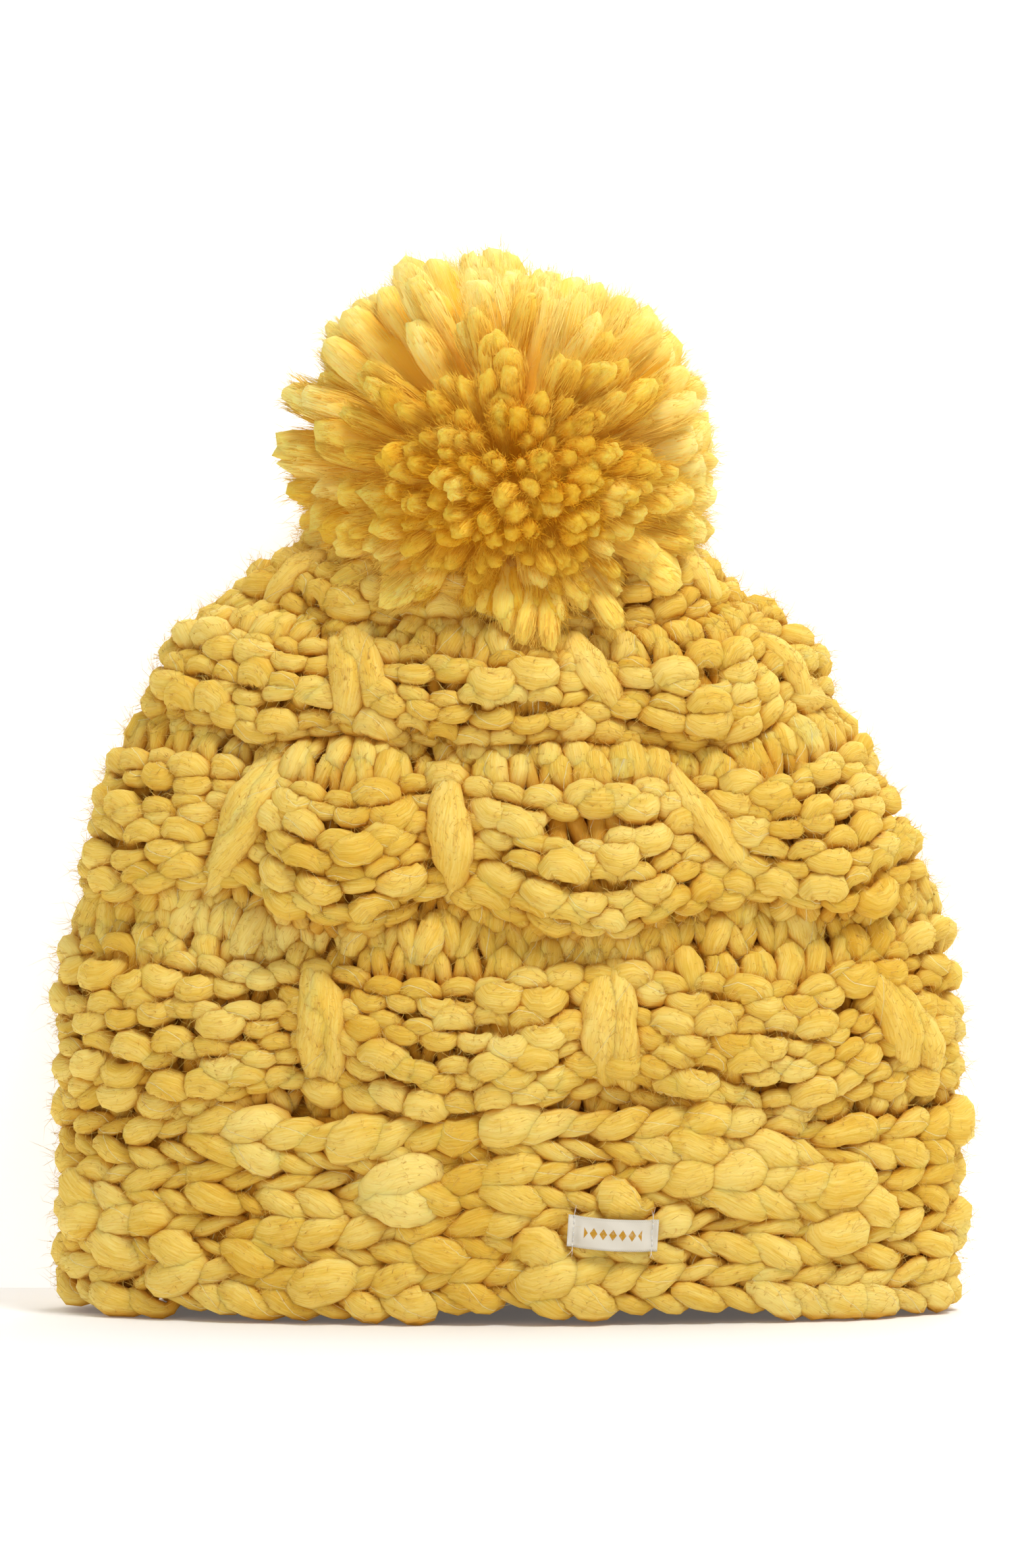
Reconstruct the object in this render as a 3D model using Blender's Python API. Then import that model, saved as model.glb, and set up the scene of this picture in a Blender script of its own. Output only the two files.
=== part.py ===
"""Pom pom beanie, standing on its brim as it lies when flat: wide from side to side, shallow front to back.

Frame: metres, +Z up through the crown, -Y is the front (the side with the woven label), and the origin is
the centre of the brim opening, level with the brim's lower edge.
"""

import math

import bmesh
import bpy
import numpy as np
from mathutils import Matrix, Vector

# Overall size of the hat
HALF_WIDTH = 0.119
HALF_DEPTH = 0.052
BAND_HEIGHT = 0.055
CLEARANCE = 0.0004

# Brim band: a strip knitted sideways, so that its ribs run round the head
BAND_THICKNESS = 0.010
BAND_RIBS = 4
RIB_RELIEF = 0.0018
BAND_SEGMENTS = 60

# Fleece ear band sewn inside the brim
FLEECE_THICKNESS = 0.0024
FLEECE_BOTTOM = 0.006
FLEECE_TOP = 0.050

# Crown: tiers of puffed pillows, drawn together at the top
CROWN_HALF_WIDTH = 0.112
CROWN_HALF_DEPTH = 0.049
CROWN_BASE = BAND_HEIGHT + CLEARANCE
DOME_BASE = 0.060
DOME_TOP = 0.2045
DOME_EXPONENT = 2.45
DIMPLE_DEPTH = 0.006
DIMPLE_SHARE = 0.3
DOME_DEPTH_POWER = 0.85
CROWN_THICKNESS = 0.008
CROWN_SEGMENTS = 60
PUFF_HEIGHT = 0.007
TIER_HEIGHT = 0.047
PILLOWS_PER_TIER = 6
VALLEY_SHARE = 0.22
GATHER_HOLE_RADIUS = 0.0055
LEAN_FORWARD = 0.004

# Side seam of band and crown, at the wearer's right and a little to the back
SEAM_ANGLE = math.radians(165)
SEAM_GAP = 0.0044
SEAM_YARN_RADIUS = 0.0015

# Pom pom and the yarn that ties it on
POM_RADIUS = 0.051
POM_CENTRE = Vector((0, -LEAN_FORWARD, 0.229))
PIVOT = Vector((0, -LEAN_FORWARD, 0.2010))
WAIST_RADIUS = 0.008
SLIT_HALF_WIDTH = 0.0014
TIE_RADIUS = 0.001
KNOT_CLEARANCE = 0.0042

# How far the pom pom turns on its tie, and the least gap it keeps from the crown while it does
TWIST_LIMIT = math.radians(35)
SWAY_LIMIT = math.radians(15)
NOD_LIMIT = math.radians(15)
TILT_CLEARANCE = 0.0012

# Woven label on the front of the band
LABEL_CENTRE_X = 0.0265
LABEL_CENTRE_Z = 0.0242
LABEL_LENGTH = 0.0234
LABEL_HEIGHT = 0.0082
LABEL_THICKNESS = 0.0006
LABEL_THREAD_RADIUS = 0.00025
LABEL_THREAD_INSET = 0.0017

# Care label inside, sewn in along its upper edge
CARE_LABEL_X = -0.1005
CARE_LABEL_WIDTH = 0.016
CARE_LABEL_LENGTH = 0.034
CARE_LABEL_TOP = 0.0505

WOOL_YELLOW = (0.68, 0.45, 0.09)
POM_YELLOW = (0.73, 0.46, 0.06)
FLEECE_YELLOW = (0.60, 0.40, 0.10)
THREAD_YELLOW = (0.70, 0.50, 0.16)
LABEL_WHITE = (0.80, 0.77, 0.70)
THREAD_WHITE = (0.84, 0.82, 0.78)


def clear_scene():
    for obj in list(bpy.data.objects):
        bpy.data.objects.remove(obj)


def material(name, colour, roughness):
    made = bpy.data.materials.new(name)
    made.use_nodes = True
    shader = made.node_tree.nodes["Principled BSDF"]
    shader.inputs["Base Color"].default_value = (*colour, 1)
    shader.inputs["Roughness"].default_value = roughness
    shader.inputs["Metallic"].default_value = 0
    return made


def add_object(name, data, finish):
    obj = bpy.data.objects.new(name, data)
    bpy.context.scene.collection.objects.link(obj)
    obj.data.materials.append(finish)
    return obj


def object_from_bmesh(name, bm, finish):
    mesh = bpy.data.meshes.new(name)
    bm.to_mesh(mesh)
    bm.free()
    mesh.shade_smooth()
    mesh.set_sharp_from_angle(angle=math.radians(50))
    return add_object(name, mesh, finish)


def hide_cutter(obj):
    obj.hide_render = True
    obj.display_type = "WIRE"


def boolean(target, other, operation):
    modifier = target.modifiers.new(operation.lower(), "BOOLEAN")
    modifier.operation = operation
    modifier.object = other


def brim_point(angle, offset, height):
    """A point at this offset outwards, square to the brim's outer ellipse."""
    normal = Vector((HALF_DEPTH * math.cos(angle), HALF_WIDTH * math.sin(angle), 0)).normalized()
    return Vector((HALF_WIDTH * math.cos(angle), HALF_DEPTH * math.sin(angle), height)) + offset * normal


def seam_half_angle(half_width, half_depth):
    """Half the angle that the seam gap takes out of an ellipse of this size."""
    across = math.hypot(half_width * math.sin(SEAM_ANGLE), half_depth * math.cos(SEAM_ANGLE))
    return min(SEAM_GAP / 2 / across, 0.35)


def ring_angles(half_width, half_depth, segments):
    """Angles once round from one edge of the side seam to the other."""
    gap = seam_half_angle(half_width, half_depth)
    return np.linspace(SEAM_ANGLE + gap, SEAM_ANGLE + 2 * math.pi - gap, segments + 1)


def swept_strip(name, profile, angles, closed, finish):
    """A solid swept round the brim. The profile is a closed outline of (offset outwards, height)."""
    bm = bmesh.new()
    sections = [[bm.verts.new(brim_point(a, offset, z)) for offset, z in profile] for a in angles]
    followers = sections[1:] + sections[:1] if closed else sections[1:]
    for here, there in zip(sections, followers):
        for i in range(len(profile)):
            j = (i + 1) % len(profile)
            bm.faces.new((here[i], there[i], there[j], here[j]))
    if not closed:
        bm.faces.new(sections[0])
        bm.faces.new(sections[-1])
    bmesh.ops.recalc_face_normals(bm, faces=bm.faces)
    return object_from_bmesh(name, bm, finish)


def cord(name, points, radius, finish, closed=False, sides=6):
    """A round yarn or thread along a line of points."""
    curve = bpy.data.curves.new(name, "CURVE")
    curve.dimensions = "3D"
    curve.bevel_depth = radius
    curve.bevel_resolution = sides // 2 - 2
    curve.use_fill_caps = True
    spline = curve.splines.new("POLY")
    spline.points.add(len(points) - 1)
    for place, point in zip(spline.points, points):
        place.co = (*point, 1)
    spline.use_cyclic_u = closed
    return add_object(name, curve, finish)


def brim_ring_cord(name, offset, height, radius, segments, finish, sides=4):
    angles = np.linspace(0, 2 * math.pi, segments, endpoint=False)
    points = [brim_point(a, offset, height) for a in angles]
    return cord(name, points, radius, finish, closed=True, sides=sides)


def overhand_knot(name, centre, scale, radius, finish):
    """A trefoil: the shape an overhand knot takes once its ends are lost in the yarn."""
    turns = np.linspace(0, 2 * math.pi, 48, endpoint=False)
    points = []
    for t in turns:
        lobe = Vector((math.sin(t) + 2 * math.sin(2 * t), math.cos(t) - 2 * math.cos(2 * t), -math.sin(3 * t)))
        points.append(centre + scale * lobe)
    return cord(name, points, radius, finish, closed=True)


def build_brim_band(finish):
    """Four ribs side by side: each is a round ridge on the outside, and the inside is flat."""
    edge = 0.0015
    rib_height = (BAND_HEIGHT - 2 * edge) / BAND_RIBS
    outline = [(-BAND_THICKNESS + edge, 0), (-edge - RIB_RELIEF, 0)]
    points_per_rib = 4
    for step in range(BAND_RIBS * points_per_rib + 1):
        ridge = abs(math.sin(math.pi * step / points_per_rib))
        outline.append((-RIB_RELIEF * (1 - ridge), edge + rib_height * step / points_per_rib))
    outline += [(-edge - RIB_RELIEF, BAND_HEIGHT), (-BAND_THICKNESS + edge, BAND_HEIGHT)]
    outline += [(-BAND_THICKNESS, BAND_HEIGHT - edge), (-BAND_THICKNESS, edge)]
    angles = ring_angles(HALF_WIDTH, HALF_DEPTH, BAND_SEGMENTS)
    return swept_strip("brim_band", outline, angles, False, finish)


def build_fleece_band(finish):
    outer = -BAND_THICKNESS - CLEARANCE
    inner = outer - FLEECE_THICKNESS
    middle = (outer + inner) / 2
    outline = [
        (outer, FLEECE_BOTTOM + 0.001),
        (outer, FLEECE_TOP - 0.001),
        (middle, FLEECE_TOP),
        (inner, FLEECE_TOP - 0.001),
        (inner, FLEECE_BOTTOM + 0.001),
        (middle, FLEECE_BOTTOM),
    ]
    angles = np.linspace(0, 2 * math.pi, 60, endpoint=False)
    return swept_strip("fleece_band", outline, angles, True, finish)


def build_fleece_threads(finish):
    """The two rows of stitching that hold the fleece to the brim."""
    radius = 0.0003
    offset = -BAND_THICKNESS - FLEECE_THICKNESS - 2 * CLEARANCE - radius
    hem = 0.003
    brim_ring_cord("fleece_thread_lower", offset, FLEECE_BOTTOM + hem, radius, 60, finish)
    brim_ring_cord("fleece_thread_upper", offset, FLEECE_TOP - hem, radius, 60, finish)


def build_join_yarn(finish):
    """The yarn that grafts the crown's first row to the top of the band, on the inside."""
    radius = 0.0014
    offset = -BAND_THICKNESS - radius - 0.0006
    return brim_ring_cord("join_yarn", offset, BAND_HEIGHT - radius, radius, 64, finish, sides=6)


def dome_share(climb):
    """How wide the crown is at this climb from 0 to 1, as a share of its base, and its height there."""
    angle = climb * math.pi / 2
    share = math.cos(angle) ** (2 / DOME_EXPONENT)
    height = DOME_BASE + (DOME_TOP - DOME_BASE) * math.sin(angle) ** (2 / DOME_EXPONENT)
    return share, height


def arc_shares():
    """A table of angle against share of the way round the crown's base ellipse."""
    angles = np.linspace(0, 2 * math.pi, 721)
    speed = np.hypot(CROWN_HALF_WIDTH * np.sin(angles), CROWN_HALF_DEPTH * np.cos(angles))
    travelled = np.concatenate([[0], np.cumsum((speed[1:] + speed[:-1]) / 2)])
    return angles, travelled / travelled[-1]


def puff(angle, height, share, table):
    """How far a pillow stands out here, from 0 to 1. Each tier's pillows sit over the gaps of the tier below."""
    tier = (height - CROWN_BASE) / TIER_HEIGHT
    if tier < 0:
        return 0
    level, within = int(tier), tier % 1
    if within > 1 - VALLEY_SHARE:
        return 0
    upright = math.sin(math.pi * within / (1 - VALLEY_SHARE)) ** 0.7
    way_round = np.interp(angle % (2 * math.pi), *table)
    across = abs(math.sin(math.pi * (PILLOWS_PER_TIER * way_round + 0.5 * (level % 2))))
    fade = min(1, share / 0.75) ** 2
    return upright * (0.45 + 0.55 * across**0.5) * fade


def crown_half_axes(share):
    """The crown's outline narrows more from side to side than from front to back, until it is a round hole."""
    half_width = CROWN_HALF_WIDTH * share
    beyond_hole = (half_width - GATHER_HOLE_RADIUS) / (CROWN_HALF_WIDTH - GATHER_HOLE_RADIUS)
    depth_share = np.clip(beyond_hole, 0, 1) ** DOME_DEPTH_POWER
    return half_width, GATHER_HOLE_RADIUS + (CROWN_HALF_DEPTH - GATHER_HOLE_RADIUS) * depth_share


def crown_point(angle, share, height, relief):
    half_width, half_depth = crown_half_axes(share)
    normal = Vector((half_depth * math.cos(angle), half_width * math.sin(angle), 0)).normalized()
    lean = LEAN_FORWARD * (1 - share) ** 2
    dimple = DIMPLE_DEPTH * max(0, 1 - share / DIMPLE_SHARE) ** 2
    middle = Vector((half_width * math.cos(angle), half_depth * math.sin(angle) - lean, height - dimple))
    return middle + relief * normal


def crown_levels():
    """(share, height) of each ring of the crown, from its foot to the edge of the hole it is gathered into."""
    straight = [(1, z) for z in np.linspace(CROWN_BASE, DOME_BASE, 2, endpoint=False)]
    top_climb = 2 / math.pi * math.acos((GATHER_HOLE_RADIUS / CROWN_HALF_WIDTH) ** (DOME_EXPONENT / 2))
    heights = np.linspace(0, 1, 20)
    climbs = top_climb * (1 - (1 - heights) ** 1.25) ** 1.1
    return straight + [dome_share(c) for c in climbs]


def build_crown_shell(finish):
    """An open sheet with a slit for the side seam, thickened inwards to the depth of the knit."""
    table = arc_shares()
    bm = bmesh.new()
    rings = []
    for share, height in crown_levels():
        angles = ring_angles(*crown_half_axes(share), CROWN_SEGMENTS)
        points = [crown_point(a, share, height, PUFF_HEIGHT * puff(a, height, share, table)) for a in angles]
        rings.append([bm.verts.new(p) for p in points])
    for low, high in zip(rings, rings[1:]):
        for i in range(CROWN_SEGMENTS):
            bm.faces.new((low[i], low[i + 1], high[i + 1], high[i]))
    crown = object_from_bmesh("crown_shell", bm, finish)
    thicken = crown.modifiers.new("knit_depth", "SOLIDIFY")
    thicken.thickness = CROWN_THICKNESS
    thicken.offset = -1
    return crown


def build_seam_yarns(finish):
    """The yarn laced up the side seam, lying in the gap between the two edges it draws together."""
    end_gap = 0.004
    band_offset = -BAND_THICKNESS / 2
    heights = np.linspace(end_gap, BAND_HEIGHT - end_gap, 4)
    points = [brim_point(SEAM_ANGLE, band_offset, z) for z in heights]
    cord("brim_seam_yarn", points, SEAM_YARN_RADIUS, finish)
    table = arc_shares()
    points = []
    for climb in np.linspace(0.03, 0.70, 24):
        share, height = dome_share(climb)
        relief = PUFF_HEIGHT * puff(SEAM_ANGLE, height, share, table)
        here = crown_point(SEAM_ANGLE, share, height, relief)
        along = crown_point(SEAM_ANGLE + 0.001, share, height, relief) - here
        upward = crown_point(SEAM_ANGLE, *dome_share(climb + 0.001), relief) - here
        inward = -along.cross(upward).normalized()
        points.append(here + inward * CROWN_THICKNESS / 2)
    cord("crown_seam_yarn", points, SEAM_YARN_RADIUS * 0.75, finish)


def build_gather_cord(finish):
    """The drawstring run through the crown's last stitches, lying just under the hole it closes."""
    radius = 0.0013
    ring_radius = GATHER_HOLE_RADIUS + 0.0025
    height = PIVOT.z - CROWN_THICKNESS - radius - 0.0034
    angles = np.linspace(0, 2 * math.pi, 28, endpoint=False)
    points = [
        Vector((ring_radius * math.cos(a), ring_radius * math.sin(a) - LEAN_FORWARD, height)) for a in angles
    ]
    return cord("gather_cord", points, radius, finish, closed=True)


def build_tie_tails(finish):
    """Two plies twisted together, from the knot on the crown down through the gathered hole."""
    top = PIVOT.z - KNOT_CLEARANCE
    length = 0.020
    turns = 1.5
    rings = 14
    corners = 12
    bm = bmesh.new()
    loops = []
    for step in range(rings + 1):
        share = step / rings
        twist = turns * 2 * math.pi * share
        loop = []
        for corner in range(corners):
            angle = 2 * math.pi * corner / corners
            radius = 0.0017 * (1 + 0.28 * math.cos(2 * (angle - twist)))
            place = (radius * math.cos(angle), radius * math.sin(angle) + PIVOT.y, top - length * share)
            loop.append(bm.verts.new(place))
        loops.append(loop)
    for upper, lower in zip(loops, loops[1:]):
        for i in range(corners):
            j = (i + 1) % corners
            bm.faces.new((upper[i], lower[i], lower[j], upper[j]))
    bm.faces.new(loops[0])
    bm.faces.new(loops[-1])
    bmesh.ops.recalc_face_normals(bm, faces=bm.faces)
    object_from_bmesh("tie_tails", bm, finish)
    knot_scale = 0.0021
    knot_radius = 0.0013
    below = top - length - knot_scale - knot_radius - 2 * CLEARANCE
    overhand_knot("anchor_knot", Vector((0, PIVOT.y, below)), knot_scale, knot_radius, finish)
    overhand_knot("pom_knot", PIVOT, 0.00105, 0.0007, finish)


def build_pom_tie(finish, pom):
    """The yarn tied round the bundle's waist, with its stem down to the knot."""
    ring_radius = WAIST_RADIUS + CLEARANCE + TIE_RADIUS
    bpy.ops.mesh.primitive_torus_add(
        location=POM_CENTRE - PIVOT,
        rotation=(math.pi / 2, 0, 0),
        major_radius=ring_radius,
        minor_radius=TIE_RADIUS,
        major_segments=32,
        minor_segments=8,
    )
    tie = bpy.context.object
    tie.name = "pom_tie"
    tie.data.materials.append(finish)
    top = POM_CENTRE.z - PIVOT.z - ring_radius
    foot = KNOT_CLEARANCE
    bpy.ops.mesh.primitive_cylinder_add(
        vertices=10, radius=TIE_RADIUS * 0.9, depth=top - foot, location=(0, 0, (top + foot) / 2)
    )
    stem = bpy.context.object
    stem.name = "stem_guide"
    hide_cutter(stem)
    for piece in (tie, stem):
        piece.parent = pom
    boolean(tie, stem, "UNION")


def turn_matrices():
    """The pom pom's attitudes at and between the ends of its travel: a twist, then a sway, then a nod."""
    found = []
    for twist in np.linspace(-TWIST_LIMIT, TWIST_LIMIT, 5):
        for sway in np.linspace(-SWAY_LIMIT, SWAY_LIMIT, 3):
            for nod in np.linspace(-NOD_LIMIT, NOD_LIMIT, 3):
                turned = Matrix.Rotation(twist, 3, "Z") @ Matrix.Rotation(sway, 3, "Y")
                found.append(np.array(turned @ Matrix.Rotation(nod, 3, "X")))
    return found


def clear_of_crown(points):
    """Which of these points, measured from the pivot, keep off the crown and the knot."""
    rise = points[:, 2] + PIVOT.z - TILT_CLEARANCE - DOME_BASE
    climbed = np.clip(rise / (DOME_TOP - DOME_BASE), 0, 1)
    share = (1 - climbed**DOME_EXPONENT) ** (1 / DOME_EXPONENT)
    half_width, half_depth = crown_half_axes(share)
    margin = PUFF_HEIGHT / 2 + TILT_CLEARANCE
    outside = np.hypot(points[:, 0] / (half_width + margin), points[:, 1] / (half_depth + margin)) > 1
    above = rise > DOME_TOP - DOME_BASE
    off_knot = np.linalg.norm(points, axis=1) > KNOT_CLEARANCE
    return (outside | above) & off_knot


def pile_reach(directions):
    """How far out the pile's surface lies in each direction: the ball's radius, or less where the crown is near."""
    reach = np.full(len(directions), POM_RADIUS)
    centre = np.array(POM_CENTRE - PIVOT)
    step = 0.0005
    for matrix in turn_matrices():
        while True:
            points = (centre + directions * reach[:, None]) @ matrix.T
            blocked = ~clear_of_crown(points) & (reach > WAIST_RADIUS + 0.004)
            if not blocked.any():
                break
            reach[blocked] -= step
    return reach


def soften(reach):
    """Eases sharp steps in the pile's surface, only ever inwards. Rows run from pole to pole, columns round."""
    for _ in range(3):
        inner = reach[1:-1]
        around = np.roll(inner, 1, axis=1) + np.roll(inner, -1, axis=1)
        inner[:] = np.minimum(inner, (reach[:-2] + reach[2:] + around) / 4)
    return reach


def build_pom_pile(finish, pom):
    """A ball of cut yarn ends bound at the waist.

    The bundle runs front to back through the tie, so the ball is two halves with a slit between them, and
    its underside is squashed to the shape of the crown below it.
    """
    segments = 44
    steps = 10
    slit_rise = math.asin(SLIT_HALF_WIDTH / POM_RADIUS)
    rises = np.linspace(slit_rise, math.pi / 2, steps + 1)[:-1]
    rises = np.concatenate([-rises[::-1], rises])
    turns = np.linspace(0, 2 * math.pi, segments, endpoint=False)
    directions = np.zeros((2 * steps, segments, 3))
    directions[..., 0] = np.outer(np.cos(rises), np.cos(turns))
    directions[..., 1] = np.sin(rises)[:, None]
    directions[..., 2] = np.outer(np.cos(rises), np.sin(turns))
    reach = soften(pile_reach(directions.reshape(-1, 3)).reshape(2 * steps, segments))
    points = directions * reach[..., None]
    points[steps - 1, :, 1] = -SLIT_HALF_WIDTH
    points[steps, :, 1] = SLIT_HALF_WIDTH
    bm = bmesh.new()
    rings = [[bm.verts.new(p) for p in ring] for ring in points]
    for side in (-1, 1):
        waist = [(WAIST_RADIUS * math.cos(t), side * SLIT_HALF_WIDTH, WAIST_RADIUS * math.sin(t)) for t in turns]
        rings.insert(len(rings) // 2 if side < 0 else steps + 1, [bm.verts.new(p) for p in waist])
    for ring, y in ((rings[0], -POM_RADIUS), (rings[-1], POM_RADIUS)):
        pole = bm.verts.new((0, y, 0))
        for i in range(segments):
            bm.faces.new((ring[i], ring[(i + 1) % segments], pole))
    for here, there in zip(rings, rings[1:]):
        for i in range(segments):
            j = (i + 1) % segments
            bm.faces.new((here[i], here[j], there[j], there[i]))
    bmesh.ops.recalc_face_normals(bm, faces=bm.faces)
    pile = object_from_bmesh("pom_pile", bm, finish)
    pile.parent = pom
    pile.location = POM_CENTRE - PIVOT


def build_logo_label(label_finish, thread_finish):
    """A blank woven label on the front of the band, held by a line of stitches near each end."""
    columns = 10
    half = LABEL_LENGTH / 2
    inner = CLEARANCE
    outer = inner + LABEL_THICKNESS
    low = LABEL_CENTRE_Z - LABEL_HEIGHT / 2
    high = LABEL_CENTRE_Z + LABEL_HEIGHT / 2
    angles = [
        -math.acos((LABEL_CENTRE_X + x) / HALF_WIDTH) for x in np.linspace(-half, half, columns + 1)
    ]
    outline = [(inner, low), (outer, low), (outer, high), (inner, high)]
    swept_strip("logo_label", outline, angles, False, label_finish)
    thread_offset = outer + CLEARANCE + LABEL_THREAD_RADIUS
    past_edge = 0.0012
    for side, x in (("left", -half + LABEL_THREAD_INSET), ("right", half - LABEL_THREAD_INSET)):
        angle = -math.acos((LABEL_CENTRE_X + x) / HALF_WIDTH)
        points = [brim_point(angle, thread_offset, z) for z in (low - past_edge, high + past_edge)]
        cord(f"logo_thread_{side}", points, LABEL_THREAD_RADIUS, thread_finish)


def build_care_label(label_finish, thread_finish):
    """A blank label hanging inside from its sewn upper edge, with its origin on that edge."""
    thickness = 0.0005
    bm = bmesh.new()
    bmesh.ops.create_cube(bm, size=1)
    bmesh.ops.scale(bm, vec=(thickness, CARE_LABEL_WIDTH, CARE_LABEL_LENGTH), verts=bm.verts)
    bmesh.ops.translate(bm, vec=(0, 0, -CARE_LABEL_LENGTH / 2), verts=bm.verts)
    label = object_from_bmesh("care_label", bm, label_finish)
    label.location = (CARE_LABEL_X, 0, CARE_LABEL_TOP)
    radius = 0.0003
    x = CARE_LABEL_X - thickness / 2 - CLEARANCE - radius
    half = CARE_LABEL_WIDTH / 2 - 0.001
    height = CARE_LABEL_TOP - 0.0012
    points = [Vector((x, y, height)) for y in (-half, half)]
    cord("care_label_thread", points, radius, thread_finish)


def build_hat():
    wool = material("wool_yarn", WOOL_YELLOW, 0.95)
    pile = material("pom_yarn", POM_YELLOW, 0.95)
    fleece = material("fleece", FLEECE_YELLOW, 1.0)
    thread = material("sewing_thread", THREAD_YELLOW, 0.8)
    ribbon = material("woven_ribbon", LABEL_WHITE, 0.7)
    white_thread = material("label_thread", THREAD_WHITE, 0.7)

    build_brim_band(wool)
    build_crown_shell(wool)
    build_seam_yarns(wool)
    build_join_yarn(wool)
    build_gather_cord(wool)
    build_fleece_band(fleece)
    build_fleece_threads(thread)
    build_logo_label(ribbon, white_thread)
    build_care_label(ribbon, white_thread)
    build_tie_tails(wool)

    pom = bpy.data.objects.new("pom_pivot", None)
    bpy.context.scene.collection.objects.link(pom)
    pom.location = PIVOT
    build_pom_pile(pile, pom)
    build_pom_tie(wool, pom)


clear_scene()
build_hat()
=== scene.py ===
"""Looks of the pom pom beanie: every stitch is a real loop of slubbed roving yarn, laid over the CAD hat.

Lengths are in millimetres up to the point where a mesh is made; meshes and materials are in metres.
The hat stands on its brim: +Z is up to the pom pom, -Y is the front, and the origin is the middle of the
brim opening.
"""

import math
from typing import NamedTuple

import bpy
import numpy as np
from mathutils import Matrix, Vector


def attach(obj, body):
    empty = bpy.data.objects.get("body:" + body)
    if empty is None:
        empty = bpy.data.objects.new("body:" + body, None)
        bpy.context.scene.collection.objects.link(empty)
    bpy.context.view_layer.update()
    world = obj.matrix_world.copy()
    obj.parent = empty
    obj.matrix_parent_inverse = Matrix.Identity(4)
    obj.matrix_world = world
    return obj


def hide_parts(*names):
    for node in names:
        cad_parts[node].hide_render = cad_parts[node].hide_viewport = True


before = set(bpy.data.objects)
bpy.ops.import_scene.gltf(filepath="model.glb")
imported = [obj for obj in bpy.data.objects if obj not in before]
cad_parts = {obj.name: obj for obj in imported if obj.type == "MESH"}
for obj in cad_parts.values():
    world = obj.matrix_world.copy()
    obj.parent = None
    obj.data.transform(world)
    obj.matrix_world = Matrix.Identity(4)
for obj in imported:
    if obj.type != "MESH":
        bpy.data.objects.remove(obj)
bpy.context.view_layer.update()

MM = 0.001
RNG = np.random.default_rng(20)

# Crown: the middle surface of the knit, which is part of a superellipsoid that leans, slumps and has a waist
CROWN_HALF_WIDTH = 113.0
CROWN_HALF_DEPTH = 41.0
DOME_BASE = 60.0
DOME_TOP = 203.0
DOME_EXPONENT = 2.45
DEPTH_POWER = 0.85
LEAN_FORWARD = 4.0
SLUMP = 4.5
FLANK_TUCK = 3.5
WAIST_TUCK = 3.0
RELIEF = 12.0
DROOP = 0.25
SIDE_LIFT = 8.0

# Yarn radii, and the loops that it makes: their lean, in stitches, and their depth through the cloth
CROWN_YARN = 2.45
BAND_YARN = 2.85
PURL_LEAN = 0.28
KNIT_LEAN = 0.27
CROWN_LOOP_DEPTH = 2.5
BAND_LOOP_DEPTH = 2.6
THINNEST, THICKEST = 0.84, 1.42
SAMPLES_PER_STITCH = 20
YARN_SIDES = 10
BINDER_PITCH = 30.0

# Rows of the crown from the brim up: distance up the crown, knit or purl, and stitches round
CROWN_ROWS = (
    (-1.5, "knit", 56),
    (7.0, "purl", 56),
    (15.3, "purl", 56),
    (23.6, "purl", 56),
    (32.0, "purl", 56),
    (40.5, "knit", 54),
    (49.5, "knit", 53),
    (58.0, "purl", 53),
    (66.3, "purl", 53),
    (74.6, "purl", 52),
    (83.0, "purl", 51),
    (92.0, "knit", 48),
    (100.5, "purl", 47),
    (109.0, "purl", 45),
    (117.5, "purl", 42),
    (126.5, "knit", 38),
    (135.0, "purl", 35),
    (143.5, "purl", 32),
    (152.5, "knit", 28),
    (160.5, "knit", 24),
    (168.5, "knit", 19),
    (176.5, "knit", 15),
)
# Rows that share one piece
CROWN_PIECES = (
    ("tier_1a", 0, 3),
    ("tier_1b", 3, 6),
    ("tier_2a", 6, 9),
    ("tier_2b", 9, 12),
    ("tier_3", 12, 16),
    ("top", 16, 22),
)

# Puffed tiers: where each starts and ends up the crown, how far it stands out, how far it sags between the
# columns of slipped stitches that cinch it, and those columns, each (sideways place, lean, width, strands).
TIERS = (
    (-2.0, 38.0, 0.9, 5.0, ((-52, -2, 8, 2), (27, -3, 8.5, 2), (104, -9, 8.5, 2))),
    (48.5, 91.0, 1.3, 8.5, ((-73, 9, 8.5, 2), (-13, 3, 8.5, 1), (59, -6, 7.5, 1))),
    (96.0, 125.0, 0.85, 4.5, ((-38, -6, 8, 2), (30, -5, 9, 1), (82, -6, 7, 1))),
    (131.0, 152.0, 0.5, 2.0, ((-52, 3, 6, 1), (5, 0, 6, 1), (52, -3, 6.5, 1))),
)

# Brim band, knitted sideways
BAND_HALF_WIDTH = 116.0
BAND_HALF_DEPTH = 47.5
BAND_HEIGHT = 55.0
BAND_RIBS = 4
BAND_ROWS = 54
BAND_LEAN = 0.31
BAND_LIFT = 3.2
BAND_PIECES = 4

# Stray fibres of the knit. They end before FUZZ_LIMIT in front of or behind the hat's middle.
FUZZ_PIECES = 7
FUZZ_COUNT = 18500
FUZZ_LENGTH = 3.4
FUZZ_LIMIT = 67.0
FINE_FIBRE = 0.06

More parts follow.
